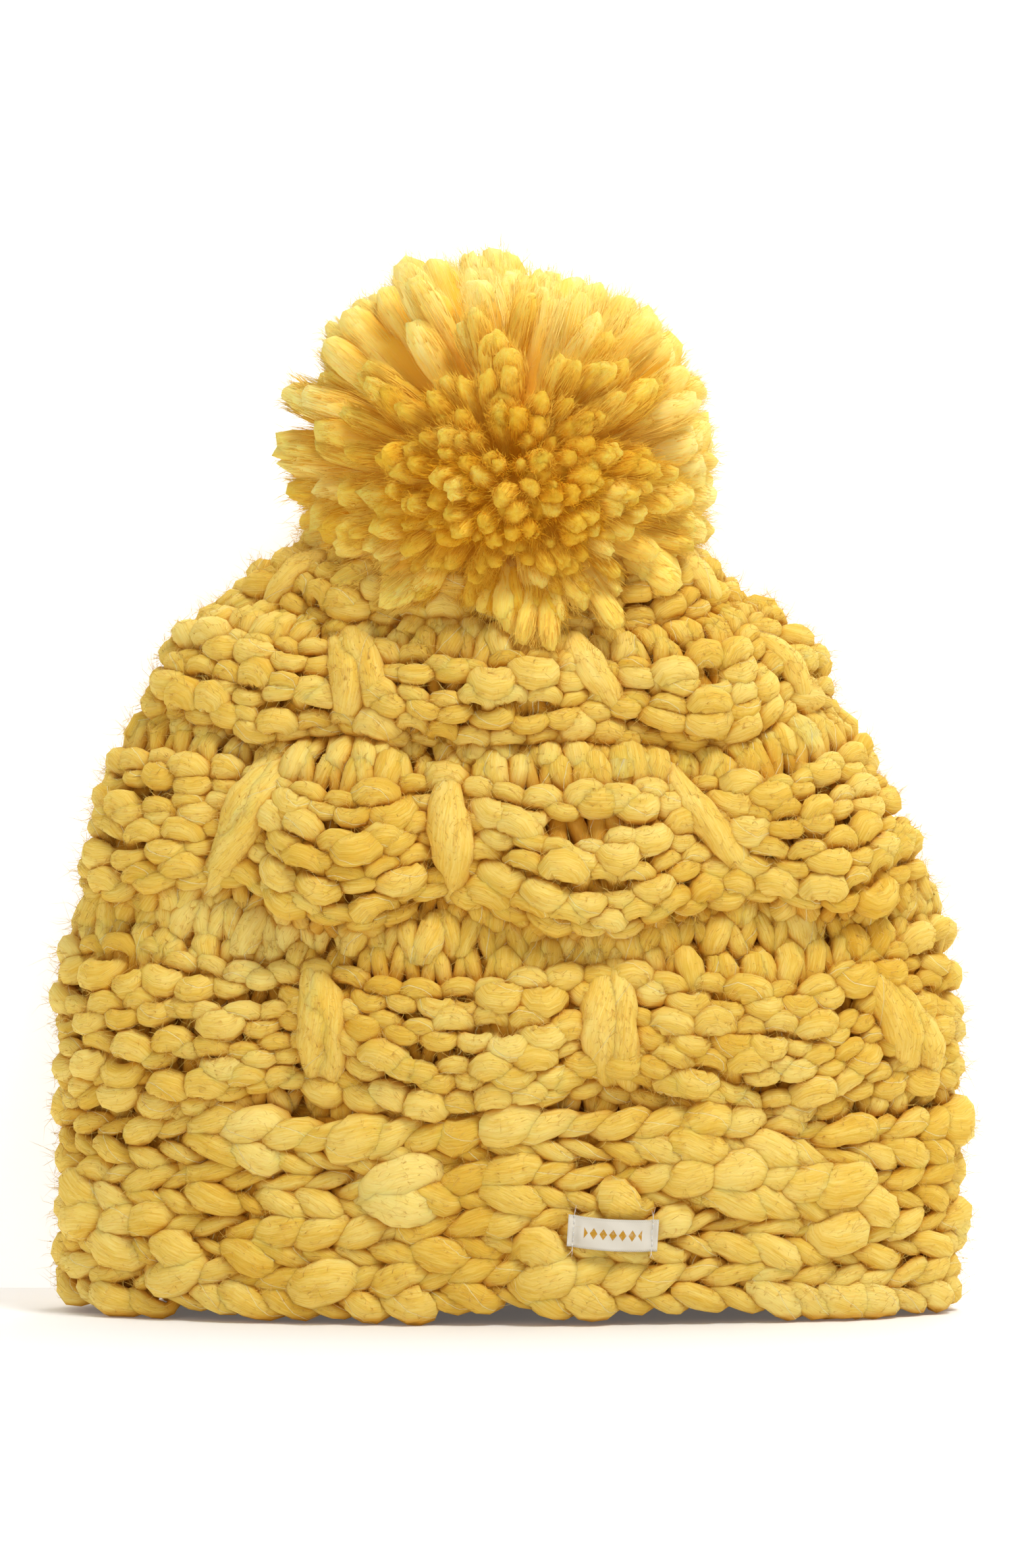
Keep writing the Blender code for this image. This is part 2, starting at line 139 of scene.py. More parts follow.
# Pom pom: the middle of the ball, and the point near the tie that its strands start from
POM_CENTRE = np.array([-0.6, -3.5, 225.0])
POM_CORE = np.array([2.2, -5.0, 219.0])
POM_RADIUS = 55.0
POM_WIDEN = np.array([1.035, 1.0, 1.0])
POM_LOPSIDED = 0.07
POM_STRANDS = 540
POM_POLE_STRANDS = 110
STRAND_SHAPE_AT = (0, 0.4, 0.65, 0.82, 0.92, 0.98, 1.0)
STRAND_SHAPE = (0.52, 0.74, 0.90, 0.97, 1.0, 0.97, 0.88)
POM_UNEVEN = 0.055
TUFT_PULL = 2.6
STRAND_POINTS = 17
STRAND_FIBRES = 120
STRAND_FIBRE = 0.15
LOOSE_FIBRES = 60
# Strands that head below this lie on the crown, and ones that it pushes further than this are hidden in it
REST_BELOW = -0.38
HIDDEN_PAST = 18.0
# Steps of painted light for the pom pom's fibres, from the most shaded to the most lit
POM_LIGHT_STEPS = 9

# Woven label
LABEL_X, LABEL_Z = 26.5, 24.1
LABEL_LENGTH, LABEL_HEIGHT = 23.4, 8.2
LABEL_THICKNESS = 0.45
LABEL_TILT = -0.065
LABEL_PIN = 10.0

# The record's slot that each material made here belongs to. The others belong to pom_yarn.
MATERIAL_SLOTS = {
    "wool_yarn": "wool_yarn",
    "slipped_wool": "wool_yarn",
    "wool_hair": "wool_yarn",
    "knit_back_shade": "wool_yarn",
    "fleece": "fleece",
    "woven_ribbon": "woven_ribbon",
    "label_thread": "label_thread",
}

# Camera: the picture is VIEW_HEIGHT tall where the hat's front stands, VIEW_AHEAD in front of its middle
CAMERA_SIDE = 0.2
CAMERA_HEIGHT = 140.2
CAMERA_LENS = 135.0
SENSOR = 36.0
VIEW_HEIGHT = 406.8
VIEW_AHEAD = 45.0


# --- Noise along a yarn and over the hat ---


def wander(at, spacing, rng):
    """Random values, mean 0 and spread 1, that ease from one to the next along a yarn."""
    span = float(at.max() - at.min()) + 4 * spacing
    count = int(span / spacing * 1.6) + 6
    knots = np.cumsum(rng.uniform(0.6, 1.4, count)) * spacing + at.min() - 2 * spacing
    values = rng.normal(0, 1, count)
    i = np.clip(np.searchsorted(knots, at) - 1, 0, count - 2)
    t = np.clip((at - knots[i]) / (knots[i + 1] - knots[i]), 0, 1)
    t = t * t * (3 - 2 * t)
    return values[i] * (1 - t) + values[i + 1] * t


def slub(at, rng):
    """Thickness of the roving along its length, as a share of its usual thickness."""
    swell = 0.40 * wander(at, 22, rng) + 0.15 * wander(at, 8, rng)
    return np.clip(np.exp(swell), 0.5, 1.8)


def smoothstep(low, high, x):
    """0 below low and 1 above high, with an eased rise between."""
    t = np.clip((x - low) / (high - low), 0, 1)
    return t * t * (3 - 2 * t)


class Ripple:
    """A smooth random field over the hat: a few waves that close up round it."""

    def __init__(self, rng, fastest, reach):
        self.turns = rng.integers(1, fastest, 7)
        self.rises = rng.uniform(-1, 1, 7) * reach
        self.phases = rng.uniform(0, 2 * math.pi, 7)

    def __call__(self, f, s):
        waves = [
            np.sin(2 * math.pi * k * f + r * s + p)
            for k, r, p in zip(self.turns, self.rises, self.phases)
        ]
        return sum(waves) / 2.0


# --- The hat's surfaces ---


def ellipse_table(half_width, half_depth):
    """Angles from the middle of the front, the share of the way round at each, and the length of the way."""
    angles = np.linspace(-math.pi / 2, 1.5 * math.pi, 1441)
    speed = np.hypot(half_width * np.sin(angles), half_depth * np.cos(angles))
    travelled = np.concatenate([[0], np.cumsum((speed[1:] + speed[:-1]) / 2)]) * (angles[1] - angles[0])
    return angles, travelled / travelled[-1], travelled[-1]


RING_ANGLES, RING_SHARES, CROWN_ROUND = ellipse_table(CROWN_HALF_WIDTH, CROWN_HALF_DEPTH)
BAND_ROUND = ellipse_table(BAND_HALF_WIDTH, BAND_HALF_DEPTH)[2]


def ring_angle(f):
    """The ellipse's angle at a share of the way round the hat."""
    return np.interp(f % 1.0, RING_SHARES, RING_ANGLES)


def place_of(x, half_width):
    """Share of the way round of a sideways place on the front."""
    angle = (math.asin(max(-1, min(1, x / half_width))) - math.pi / 2) % (2 * math.pi)
    angle = angle - 2 * math.pi if angle > 1.5 * math.pi else angle
    return float(np.interp(angle, RING_ANGLES, RING_SHARES))


CLIMBS = np.linspace(0, 0.985, 600)
DOME_SHARES = np.cos(CLIMBS * math.pi / 2) ** (2 / DOME_EXPONENT)
DOME_HEIGHTS = DOME_BASE + (DOME_TOP - DOME_BASE) * np.sin(CLIMBS * math.pi / 2) ** (2 / DOME_EXPONENT)
FRONT_STEPS = np.hypot(np.diff(DOME_HEIGHTS), CROWN_HALF_DEPTH * np.diff(DOME_SHARES**DEPTH_POWER))
SIDE_STEPS = np.hypot(np.diff(DOME_HEIGHTS), CROWN_HALF_WIDTH * np.diff(DOME_SHARES))
DOME_TRAVEL = np.concatenate([[0], np.cumsum(FRONT_STEPS * 0.65 + SIDE_STEPS * 0.35)])


def crown_surface(f, s):
    """Points of the crown's middle surface at a share of the way round and a distance up it."""
    angle = ring_angle(f)
    share = np.interp(s, DOME_TRAVEL, DOME_SHARES)
    height = np.where(s < 0, DOME_BASE + s, np.interp(s, DOME_TRAVEL, DOME_HEIGHTS))
    lean = LEAN_FORWARD * (1 - share) ** 2
    x = CROWN_HALF_WIDTH * share * np.cos(angle) - SLUMP * smoothstep(104, 145, height)
    flank = FLANK_TUCK * smoothstep(100, 140, height) - 2 * FLANK_TUCK * smoothstep(160, 190, height)
    waist = WAIST_TUCK * smoothstep(106, 122, height) * (1 - smoothstep(134, 152, height))
    x = x - (flank + waist) * np.cos(angle) * smoothstep(0, 0.4, share)
    y = CROWN_HALF_DEPTH * share**DEPTH_POWER * np.sin(angle) - lean
    return np.stack([x, y, height], -1)


def crown_frame(f, s):
    """Points of the crown and the outward normals there."""
    here = crown_surface(f, s)
    along = crown_surface(f + 1e-4, s) - crown_surface(f - 1e-4, s)
    up = crown_surface(f, s + 0.2) - crown_surface(f, s - 0.2)
    normal = np.cross(along, up)
    return here, normal / (np.linalg.norm(normal, axis=-1, keepdims=True) + 1e-12)


def band_frame(f, z):
    """Points of the brim band's middle surface and the outward normals there."""
    angle = ring_angle(f)
    here = np.stack([BAND_HALF_WIDTH * np.cos(angle), BAND_HALF_DEPTH * np.sin(angle), z + 0 * angle], -1)
    normal = np.stack([BAND_HALF_DEPTH * np.cos(angle), BAND_HALF_WIDTH * np.sin(angle), 0 * angle], -1)
    return here, normal / np.linalg.norm(normal, axis=-1, keepdims=True)


def tier_columns(tier):
    """The tier's columns as (share of the way round, lean, width, strands), front and back."""
    start, end, _, _, columns = tier
    share = float(np.interp((start + end) / 2, DOME_TRAVEL, DOME_SHARES))
    found = []
    for x, lean, width, strands in columns:
        front = place_of(x, CROWN_HALF_WIDTH * share + 6)
        found.append((front % 1.0, lean, width, strands))
        found.append(((front + 0.5) % 1.0, -lean, width, strands))
    return found


ALL_COLUMNS = [tier_columns(tier) for tier in TIERS]
PUFF_LUMPS = Ripple(RNG, 9, 0.05)


def from_columns(f, columns):
    """How far round the hat it is from here to the nearest of these columns."""
    nearest = 1e9
    for place, _, _, _ in columns:
        nearest = np.minimum(nearest, np.abs((f - place + 0.5) % 1.0 - 0.5) * CROWN_ROUND)
    return nearest


def sag(f, s):
    """How far the tier that this place belongs to hangs down here, between the columns that hold it up."""
    total = np.zeros(np.broadcast(f, s).shape)
    for (start, end, _, amount, _), columns in zip(TIERS, ALL_COLUMNS):
        within = np.clip((s - start) / (end - start), 0, 1)
        hang = smoothstep(start - 6, start + 3, s) * (1 - within)
        total = total + amount * hang * smoothstep(0, 36, from_columns(f, columns))
    return total


def relief(f, s):
    """How far the puffed tiers stand out from the crown here, in millimetres."""
    total = np.zeros(np.broadcast(f, s).shape)
    facing = 0.2 + 0.8 * np.abs(np.sin(ring_angle(f))) ** 0.7
    for (start, end, amount, _, _), columns in zip(TIERS, ALL_COLUMNS):
        within = np.clip((s - start) / (end - start), 0, 1)
        upright = np.sin(math.pi * within**0.82) ** 0.65
        pillow = 0.38 + 0.62 * smoothstep(2, 24, from_columns(f, columns))
        total = total + RELIEF * amount * upright * pillow * facing
    back = 1 - 0.12 * (np.sin(ring_angle(f)) > 0)
    return total * back * (1 + 0.13 * np.clip(PUFF_LUMPS(f, s), -1, 1))


def settled_height(f, s, stands_out):
    """Where a place on the crown ends up: puffed tiers hang down, and rows rise towards the sides."""
    at_side = smoothstep(0.12, 0.25, np.abs((f + 0.25) % 0.5 - 0.25))
    return s - DROOP * stands_out - sag(f, s) + SIDE_LIFT * at_side * smoothstep(0, 40, s)


# --- Making meshes ---


class Parts:
    """Gathers tubes and hairs into one mesh with the yarn attributes that the materials read."""

    def __init__(self):
        self.verts, self.fibre, self.binder, self.tone, self.fold_shade = [], [], [], [], []
        self.corners, self.sizes = [], []
        self.count = 0

    def add(self, verts, faces, size, fibre, binder, tone, fold_shade=None):
        self.verts.append(verts)
        self.fold_shade.append(np.zeros(len(verts)) if fold_shade is None else fold_shade)
        self.fibre.append(fibre)
        self.binder.append(binder)
        self.tone.append(tone)
        for face, sides in zip(faces, size):
            self.corners.append((face + self.count).ravel())
            self.sizes.append(np.full(len(face), sides))
        self.count += len(verts)

    def mesh(self, name):
        verts = np.concatenate(self.verts) * MM
        corners = np.concatenate(self.corners)
        sizes = np.concatenate(self.sizes)
        made = bpy.data.meshes.new(name)
        made.vertices.add(len(verts))
        made.vertices.foreach_set("co", verts.astype(np.float32).ravel())
        made.loops.add(len(corners))
        made.loops.foreach_set("vertex_index", corners.astype(np.int32))
        made.polygons.add(len(sizes))
        starts = np.concatenate([[0], np.cumsum(sizes)[:-1]])
        made.polygons.foreach_set("loop_start", starts.astype(np.int32))
        made.polygons.foreach_set("loop_total", sizes.astype(np.int32))
        made.update(calc_edges=True)
        made.shade_smooth()
        for label, values, kind in (
            ("fibre", self.fibre, "FLOAT_VECTOR"),
            ("binder", self.binder, "FLOAT_VECTOR"),
            ("tone", self.tone, "FLOAT"),
            ("fold_shade", self.fold_shade, "FLOAT"),
        ):
            attribute = made.attributes.new(label, kind, "POINT")
            field = "vector" if kind == "FLOAT_VECTOR" else "value"
            attribute.data.foreach_set(field, np.concatenate(values).astype(np.float32).ravel())
        return made


def arc_lengths(points):
    """How far along the path each point lies."""
    steps = np.linalg.norm(np.diff(points, axis=0), axis=1)
    return np.concatenate([[0], np.cumsum(steps)])


def tube_frames(points, normals, closed):
    """Directions along and across a path and square to both, at each point."""
    if closed:
        along = np.roll(points, -1, axis=0) - np.roll(points, 1, axis=0)
    else:
        along = np.gradient(points, axis=0)
    along /= np.linalg.norm(along, axis=1, keepdims=True) + 1e-12
    across = np.cross(along, normals)
    across /= np.linalg.norm(across, axis=1, keepdims=True) + 1e-12
    outward = np.cross(across, along)
    return along, across, outward


def add_tube(
    parts,
    points,
    normals,
    radii,
    rng,
    closed=False,
    sides=YARN_SIDES,
    tone=0.0,
    twist=0.035,
    ragged=0.0,
    depth=None,
):
    """A yarn along these points. Its fibres twist slowly, and a binder thread winds round it.

    depth is how far each point lies in front of the cloth: the material paints shade on the parts that are
    folded away.
    """
    along, across, outward = tube_frames(points, normals, closed)
    travel = arc_lengths(points)
    turn = 2 * math.pi * np.arange(sides) / sides
    lumps = 1 + 0.05 * np.sin(3 * turn[None] + travel[:, None] * 0.45 + rng.uniform(0, 6))
    lumps += 0.04 * np.sin(2 * turn[None] - travel[:, None] * 0.8 + rng.uniform(0, 6))
    if ragged:
        waves = [rng.normal(0, 1 / k**0.5) * np.cos(k * turn + rng.uniform(0, 6)) for k in range(1, 7)]
        along_share = np.linspace(0, 1, len(points))[:, None]
        lumps = lumps + ragged * sum(waves)[None] * (0.35 + 0.65 * along_share)
        lumps = np.clip(lumps, 0.45, 1.7)
    reach = radii[:, None] * lumps
    spread = across[:, None] * np.cos(turn)[None, :, None] * 1.05
    spread = spread + outward[:, None] * np.sin(turn)[None, :, None] * 0.95
    verts = points[:, None] + spread * reach[..., None]
    if ragged:
        frayed = rng.normal(0, 2.4 * ragged * radii.max(), sides)
        frayed = smoothstep(0.84, 1.0, along_share) * (0.5 * frayed + 0.5 * np.roll(frayed, 1))[None]
        verts = verts + along[:, None] * frayed[..., None]
    verts = verts.reshape(-1, 3)
    count = len(points)
    start = rng.uniform(0, 500)
    length = travel + start
    spin = turn[None] + twist * length[:, None] * 2 * math.pi / 6
    fibre = np.stack([2.6 * np.cos(spin), 2.6 * np.sin(spin), length[:, None] + 0 * spin], -1)
    wind = turn[None] + 2 * math.pi * length[:, None] / BINDER_PITCH
    binder = np.stack([np.cos(wind), np.sin(wind), radii[:, None] + 0 * wind], -1)
    here = (np.arange(count)[:, None] * sides + np.arange(sides)[None]).reshape(count, sides)
    rows = here if closed else here[:-1]
    nexts = np.roll(here, -1, axis=0) if closed else here[1:]
    quads = np.stack([rows, np.roll(rows, -1, 1), np.roll(nexts, -1, 1), nexts], -1).reshape(-1, 4)
    faces, sizes = [quads], [4]
    tones = np.full((count, sides), 0.0) + (tone if np.isscalar(tone) else np.asarray(tone)[:, None])
    fibre, binder, tones = fibre.reshape(-1, 3), binder.reshape(-1, 3), tones.ravel()
    if depth is None:
        fold_shade = np.zeros(count * sides)
    else:
        # Painted shade: 1 where the yarn's surface turns back into the cloth, and the material darkens it
        # there
        outer = depth[:, None] + radii[:, None] * np.sin(turn)[None]
        fold_shade = (1 - smoothstep(-1.0, 4.0, outer)).ravel()
    if not closed:
        ends = np.stack([points[0] - along[0] * radii[0] * 0.5, points[-1] + along[-1] * radii[-1] * 0.5])
        verts = np.concatenate([verts, ends])
        first, last = count * sides, count * sides + 1
        ring = np.arange(sides)
        caps = [np.stack([np.roll(ring, -1), ring, np.full(sides, first)], -1)]
        top = ring + (count - 1) * sides
        caps.append(np.stack([top, np.roll(top, -1), np.full(sides, last)], -1))
        faces.append(np.concatenate(caps))
        sizes.append(3)
        fibre = np.concatenate([fibre, [[0, 0, length[0]], [0, 0, length[-1]]]])
        binder = np.concatenate([binder, [[1, 0, 1], [1, 0, 1]]])
        tones = np.concatenate([tones, tones[:1], tones[-1:]])
        fold_shade = np.concatenate([fold_shade, fold_shade[:1], fold_shade[-1:]])
    parts.add(verts, faces, sizes, fibre, binder, tones, fold_shade)


def add_hairs(parts, roots, directions, bends, lengths, radius, tone):
    """Fine closed needles, each bent once on its way out."""
    count = len(roots)
    directions = directions / (np.linalg.norm(directions, axis=1, keepdims=True) + 1e-12)
    side = np.cross(directions, np.array([0.31, 0.47, 0.83]))
    side /= np.linalg.norm(side, axis=1, keepdims=True) + 1e-12
    other = np.cross(directions, side)
    middle = roots + directions * lengths[:, None] * 0.5
    tip = roots + (directions + bends) * lengths[:, None]
    rings = []
    for centre, thick in ((roots, radius), (middle, radius * 0.8)):
        for turn in (0, 2 * math.pi / 3, 4 * math.pi / 3):
            rings.append(centre + (side * math.cos(turn) + other * math.sin(turn)) * thick)
    rings.append(tip)
    verts = np.stack(rings, 1).reshape(-1, 3)
    base = np.arange(count)[:, None] * 7
    triangles = [(2, 1, 0), (3, 4, 6), (4, 5, 6), (5, 3, 6)]
    quads = [(0, 1, 4, 3), (1, 2, 5, 4), (2, 0, 3, 5)]
    faces = [
        (base[:, None] + np.array(triangles)[None]).reshape(-1, 3),
        (base[:, None] + np.array(quads)[None]).reshape(-1, 4),
    ]
    zeros = np.zeros((len(verts), 3))
    parts.add(verts, faces, [3, 4], zeros, zeros, np.full(len(verts), tone))


def make_object(name, mesh, finish, body, replaced=()):
    """A piece with one material that rides on this body and stands for the replaced CAD nodes."""
    obj = bpy.data.objects.new(name, mesh)
    bpy.context.scene.collection.objects.link(obj)
    obj.data.materials.append(finish)
    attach(obj, body)
    MATERIAL_SLOTS.get(finish.name.split(".")[0], "pom_yarn")
    if replaced:
        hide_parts(*replaced)


# --- The knitting ---


class Yarns:
    """Every yarn laid so far, so that stray fibres can be rooted on it."""

    def __init__(self):
        self.points, self.normals, self.radii = [], [], []

    def keep(self, points, normals, radii):
        self.points.append(points)
        self.normals.append(normals)
        self.radii.append(radii)


def loop_depth(t, foot_side, head_side):
    """A loop's depth in the cloth, +1 where it shows on the outside. Feet and heads may face either way."""
    blend = smoothstep(-0.55, 0.55, np.cos(t))
    side = head_side + (foot_side - head_side) * blend
    through = np.cos(2 * t)
    return side * np.sign(through) * np.abs(through) ** 0.75


def crown_row(index, rng):
    """One row of the crown as a closed path: share of the way round, distance up, depth, and thickness."""
    s, kind, stitches = CROWN_ROWS[index]
    above = CROWN_ROWS[index + 1] if index + 1 < len(CROWN_ROWS) else (s + 9, "knit", stitches)
    below = CROWN_ROWS[index - 1] if index else (s - 9, "knit", stitches)
    rise = (above[0] - below[0]) / 2
    foot_side = 1 if kind == "purl" else -1
    head_side = 1 if above[1] == "purl" else -1
    samples = stitches * SAMPLES_PER_STITCH
    t = np.arange(samples) / SAMPLES_PER_STITCH * 2 * math.pi
    stitch = t / (2 * math.pi)
    blend = smoothstep(-0.55, 0.55, np.cos(t))
    head_lean = PURL_LEAN if head_side > 0 else KNIT_LEAN
    foot_lean = PURL_LEAN if foot_side > 0 else KNIT_LEAN
    lean = head_lean + (foot_lean - head_lean) * blend
    thick = np.clip(settle(slub(stitch * 30.0, rng)), THINNEST, THICKEST)
    each = thick.reshape(stitches, -1).mean(1)
    edges = np.concatenate([[0], np.cumsum(0.55 + 0.45 * each / each.mean())])
    edges = edges / edges[-1] * stitches
    drift = edges - np.arange(stitches + 1)
    soft = np.convolve(np.pad(drift, 3, mode="wrap"), np.ones(7) / 7, "valid")
    edges = np.arange(stitches + 1) + (drift - soft) * 0.9
    edges[-1] = edges[0] + stitches
    across = np.interp(stitch, np.arange(stitches + 1), edges)
    across = across + lean * np.sin(2 * t) + 0.09 * wander(stitch, 1.6, rng) + stitches // 2
    uneven = rng.normal(0, 1, stitches + 1)
    tall = 0.76 * rise * (1 + 0.13 * np.interp(stitch, np.arange(stitches + 1), uneven))
    arch = np.sign(np.cos(t)) * np.abs(np.cos(t)) ** 0.7
    up = s - tall * arch + 0.9 * wander(stitch, 2.2, rng) + 0.7 * wander(stitch, 0.45, rng)
    depth = CROWN_LOOP_DEPTH * loop_depth(t, foot_side, head_side) + 0.5 * wander(stitch, 0.6, rng)
    return across / stitches, settle(up), settle(depth), thick


ROW_WAVE = Ripple(RNG, 7, 0.02)


def settle(values):
    """Closes a ring of random values, so that its end meets its start."""
    count = len(values)
    edge = max(8, count // 40)
    fade = np.linspace(0, 1, edge)
    gap = values[0] - values[-1]
    values = values.copy()
    values[-edge:] += gap * fade
    return values


def build_crown(finish, yarns, shell_nodes):
    """The crown, a piece for each few rows. The first piece stands for the CAD shell."""
    for piece, first, last in CROWN_PIECES:
        parts = Parts()
        for index in range(first, last):
            f, s, depth, thick = crown_row(index, RNG)
            s = settle(s) + 2.2 * ROW_WAVE(f, s)
            stands_out = relief(f, s)
            s = settled_height(f, s, stands_out)
            here, normal = crown_frame(f, s)
            rough = here + normal * (stands_out + depth)[:, None]
            travel = arc_lengths(rough)
            share = float(np.interp(CROWN_ROWS[index][0], DOME_TRAVEL, DOME_SHARES))
            crowd = min(1.0, CROWN_ROUND * share / CROWN_ROWS[index][2] / 9.2)
            radii = CROWN_YARN * thick * (0.80 + 0.20 * crowd) * (1 + 0.18 * depth / CROWN_LOOP_DEPTH)
            lift = 0.5 * (radii - CROWN_YARN)
            points = here + normal * (stands_out + depth + lift)[:, None]
            tone = 0.5 * wander(travel, 60, RNG) + 0.6 * (thick - 1)
            out = depth + lift
            add_tube(parts, points, normal, radii, RNG, closed=True, tone=settle(tone), depth=out)
            yarns.keep(points, normal, radii)
        replaced = shell_nodes if first == 0 else ()
        make_object(f"crown_{piece}", parts.mesh(f"crown_{piece}"), finish, "hat", replaced)


def build_slipped_stitches(finish, yarns):
    """Long strands that cross the front of each tier and draw it in."""
    parts = Parts()
    for (start, end, _, _, _), columns in zip(TIERS, ALL_COLUMNS):
        for place, lean, width, strands in columns:
            for strand in range(strands):
                t = np.linspace(0, 1, 26)
                low, high = start + RNG.uniform(-1, 2), end + RNG.uniform(-3, 1)
                s = low + (high - low) * t
                side = (strand - (strands - 1) / 2) * width * 0.8
                x = side * (1 - 0.6 * t) + lean * (2 * t - 1) + RNG.normal(0, 0.8)
                x = x + 1.7 * np.sin(1.6 * math.pi * t + RNG.uniform(0, 6))
                shrink = np.interp(s, DOME_TRAVEL, DOME_SHARES)
                f = place + x / (CROWN_ROUND * shrink)
                here, normal = crown_frame(f, s)
                bow = np.sin(math.pi * t)
                out = relief(f, s) * (0.5 + 0.5 * bow) - 4.0 + 8.8 * bow**0.5
                radii = width * 0.55 * (0.36 + 0.68 * bow**0.8) * (1 + 0.13 * wander(t * 30, 9, RNG))
                points = here + normal * out[:, None]
                add_tube(parts, points, normal, radii, RNG, sides=14, tone=0.35, twist=0.05)
                yarns.keep(points, normal, radii)
    make_object("slipped_stitches", parts.mesh("slipped_stitches"), finish, "hat")


def build_band(finish, yarns):
    """The brim's rows stand upright: the yarn goes up one row of four stitches and comes down the next."""
    wale = (BAND_HEIGHT - 4.5) / BAND_RIBS
    rise = BAND_ROUND / BAND_ROWS
    per_row = BAND_RIBS * 20
    t = np.linspace(0, 2 * math.pi * BAND_RIBS, per_row, endpoint=False)
    up, along, depth = [], [], []
    for row in range(BAND_ROWS):
        stitch = t / (2 * math.pi)
        place = stitch + BAND_LEAN * np.sin(2 * t)
        z = wale * place if row % 2 == 0 else wale * (BAND_RIBS - place)
        tall = 0.95 * rise * (1 + 0.12 * np.interp(stitch, np.arange(5), RNG.normal(0, 1, 5)))
        up.append(z)
        along.append(row * rise - tall * np.cos(t))
        depth.append(-BAND_LOOP_DEPTH * np.cos(2 * t))
    up, along, depth = (np.concatenate(part) for part in (up, along, depth))
    count = len(up)
    soft = np.array([1, 2, 3, 2, 1]) / 9
    up, along, depth = (np.convolve(np.pad(v, 2, mode="edge"), soft, "valid") for v in (up, along, depth))
    up = up + BAND_LIFT + 0.8 * wander(np.arange(count) * 1.0, 26, RNG)
    f = along / BAND_ROUND
    up = up + 1.3 * np.sin(2 * math.pi * (3 * f + 0.1)) + 0.9 * np.sin(2 * math.pi * (8 * f + 0.4))
    here, normal = band_frame(f, up)
    travel = arc_lengths(here + normal * depth[:, None])
    thick = slub(travel, RNG)
    radii = BAND_YARN * thick * (1 + 0.20 * depth / BAND_LOOP_DEPTH)
    beside = smoothstep(17, 12, np.abs(here[:, 0] - LABEL_X))
    by_label = beside * smoothstep(9, 5, np.abs(here[:, 2] - LABEL_Z)) * (here[:, 1] < 0)
    radii = radii * (1 - by_label * np.clip(1 - 3.3 / radii, 0, 1))
    lift = 0.5 * (radii - BAND_YARN)
    points = here + normal * (depth + lift)[:, None]
    points[:, 2] = np.maximum(points[:, 2], radii * 1.05 + 0.2)
    tone = 0.5 * wander(travel, 70, RNG) + 0.6 * (thick - 1)
    for piece in range(BAND_PIECES):
        low, high = piece * count // BAND_PIECES, (piece + 1) * count // BAND_PIECES + 1
        span = slice(low, min(high, count))
        parts = Parts()
        out = (depth + lift)[span]
        add_tube(parts, points[span], normal[span], radii[span], RNG, tone=tone[span], depth=out)
        replaced = ("brim_band",) if piece == 0 else ()
        make_object(f"brim_{piece + 1}", parts.mesh(f"brim_{piece + 1}"), finish, "hat", replaced)
    yarns.keep(points, normal, radii)


def sheet(name, outer, inner, finish, body, replaced=()):
    """A closed sheet between two grids of points that go once round: rows up, columns round."""
    rows, columns = outer.shape[:2]
    verts = np.concatenate([outer.reshape(-1, 3), inner.reshape(-1, 3)])
    index = np.arange(rows * columns).reshape(rows, columns)
    low, high = index[:-1], index[1:]
    skin = np.stack([low, np.roll(low, -1, 1), np.roll(high, -1, 1), high], -1).reshape(-1, 4)
    back = skin[:, ::-1] + rows * columns
    foot = np.stack([index[0], index[0] + rows * columns], -1)
    rim = np.stack([index[-1], index[-1] + rows * columns], -1)
    edges = [
        np.stack([np.roll(foot[:, 0], -1), foot[:, 0], foot[:, 1], np.roll(foot[:, 1], -1)], -1),
        np.stack([rim[:, 0], np.roll(rim[:, 0], -1), np.roll(rim[:, 1], -1), rim[:, 1]], -1),
    ]
    parts = Parts()
    zeros = np.zeros((len(verts), 3))
    faces = np.concatenate([skin, back, *edges])
    parts.add(verts, [faces], [4], zeros, zeros, np.zeros(len(verts)))
    make_object(name, parts.mesh(name), finish, body, replaced)


def build_backings(cloth, fleece):
    """The inside of the knit behind the loops, in a darkened colour that paints the shade seen in the gaps,
    and the fleece band that lines the brim.
    """
    f = np.linspace(0, 1, 220, endpoint=False)[None]
    s = np.linspace(-9, DOME_TRAVEL[-1] - 1, 70)[:, None]
    out = relief(f + 0 * s, s + 0 * f)
    here, normal = crown_frame(f + 0 * s, settled_height(f + 0 * s, s + 0 * f, out))
    out = out[..., None]
    outer, inner = here + normal * (out * 0.85 - 3.2), here + normal * (out * 0.5 - 7.5)
    sheet("crown_inside", outer, inner, cloth, "hat")
    z = np.linspace(8.0, BAND_HEIGHT - 1.5, 14)[:, None]
    here, normal = band_frame(f + 0 * z, z + 0 * f)
    sheet("brim_inside", here - normal * 1.6, here - normal * 4.4, cloth, "hat")
    z = np.linspace(6.0, 50.0, 12)[:, None]
    here, normal = band_frame(f + 0 * z, z + 0 * f)
    sheet("fleece_lining", here - normal * 4.8, here - normal * 7.2, fleece, "hat", ("fleece_band",))


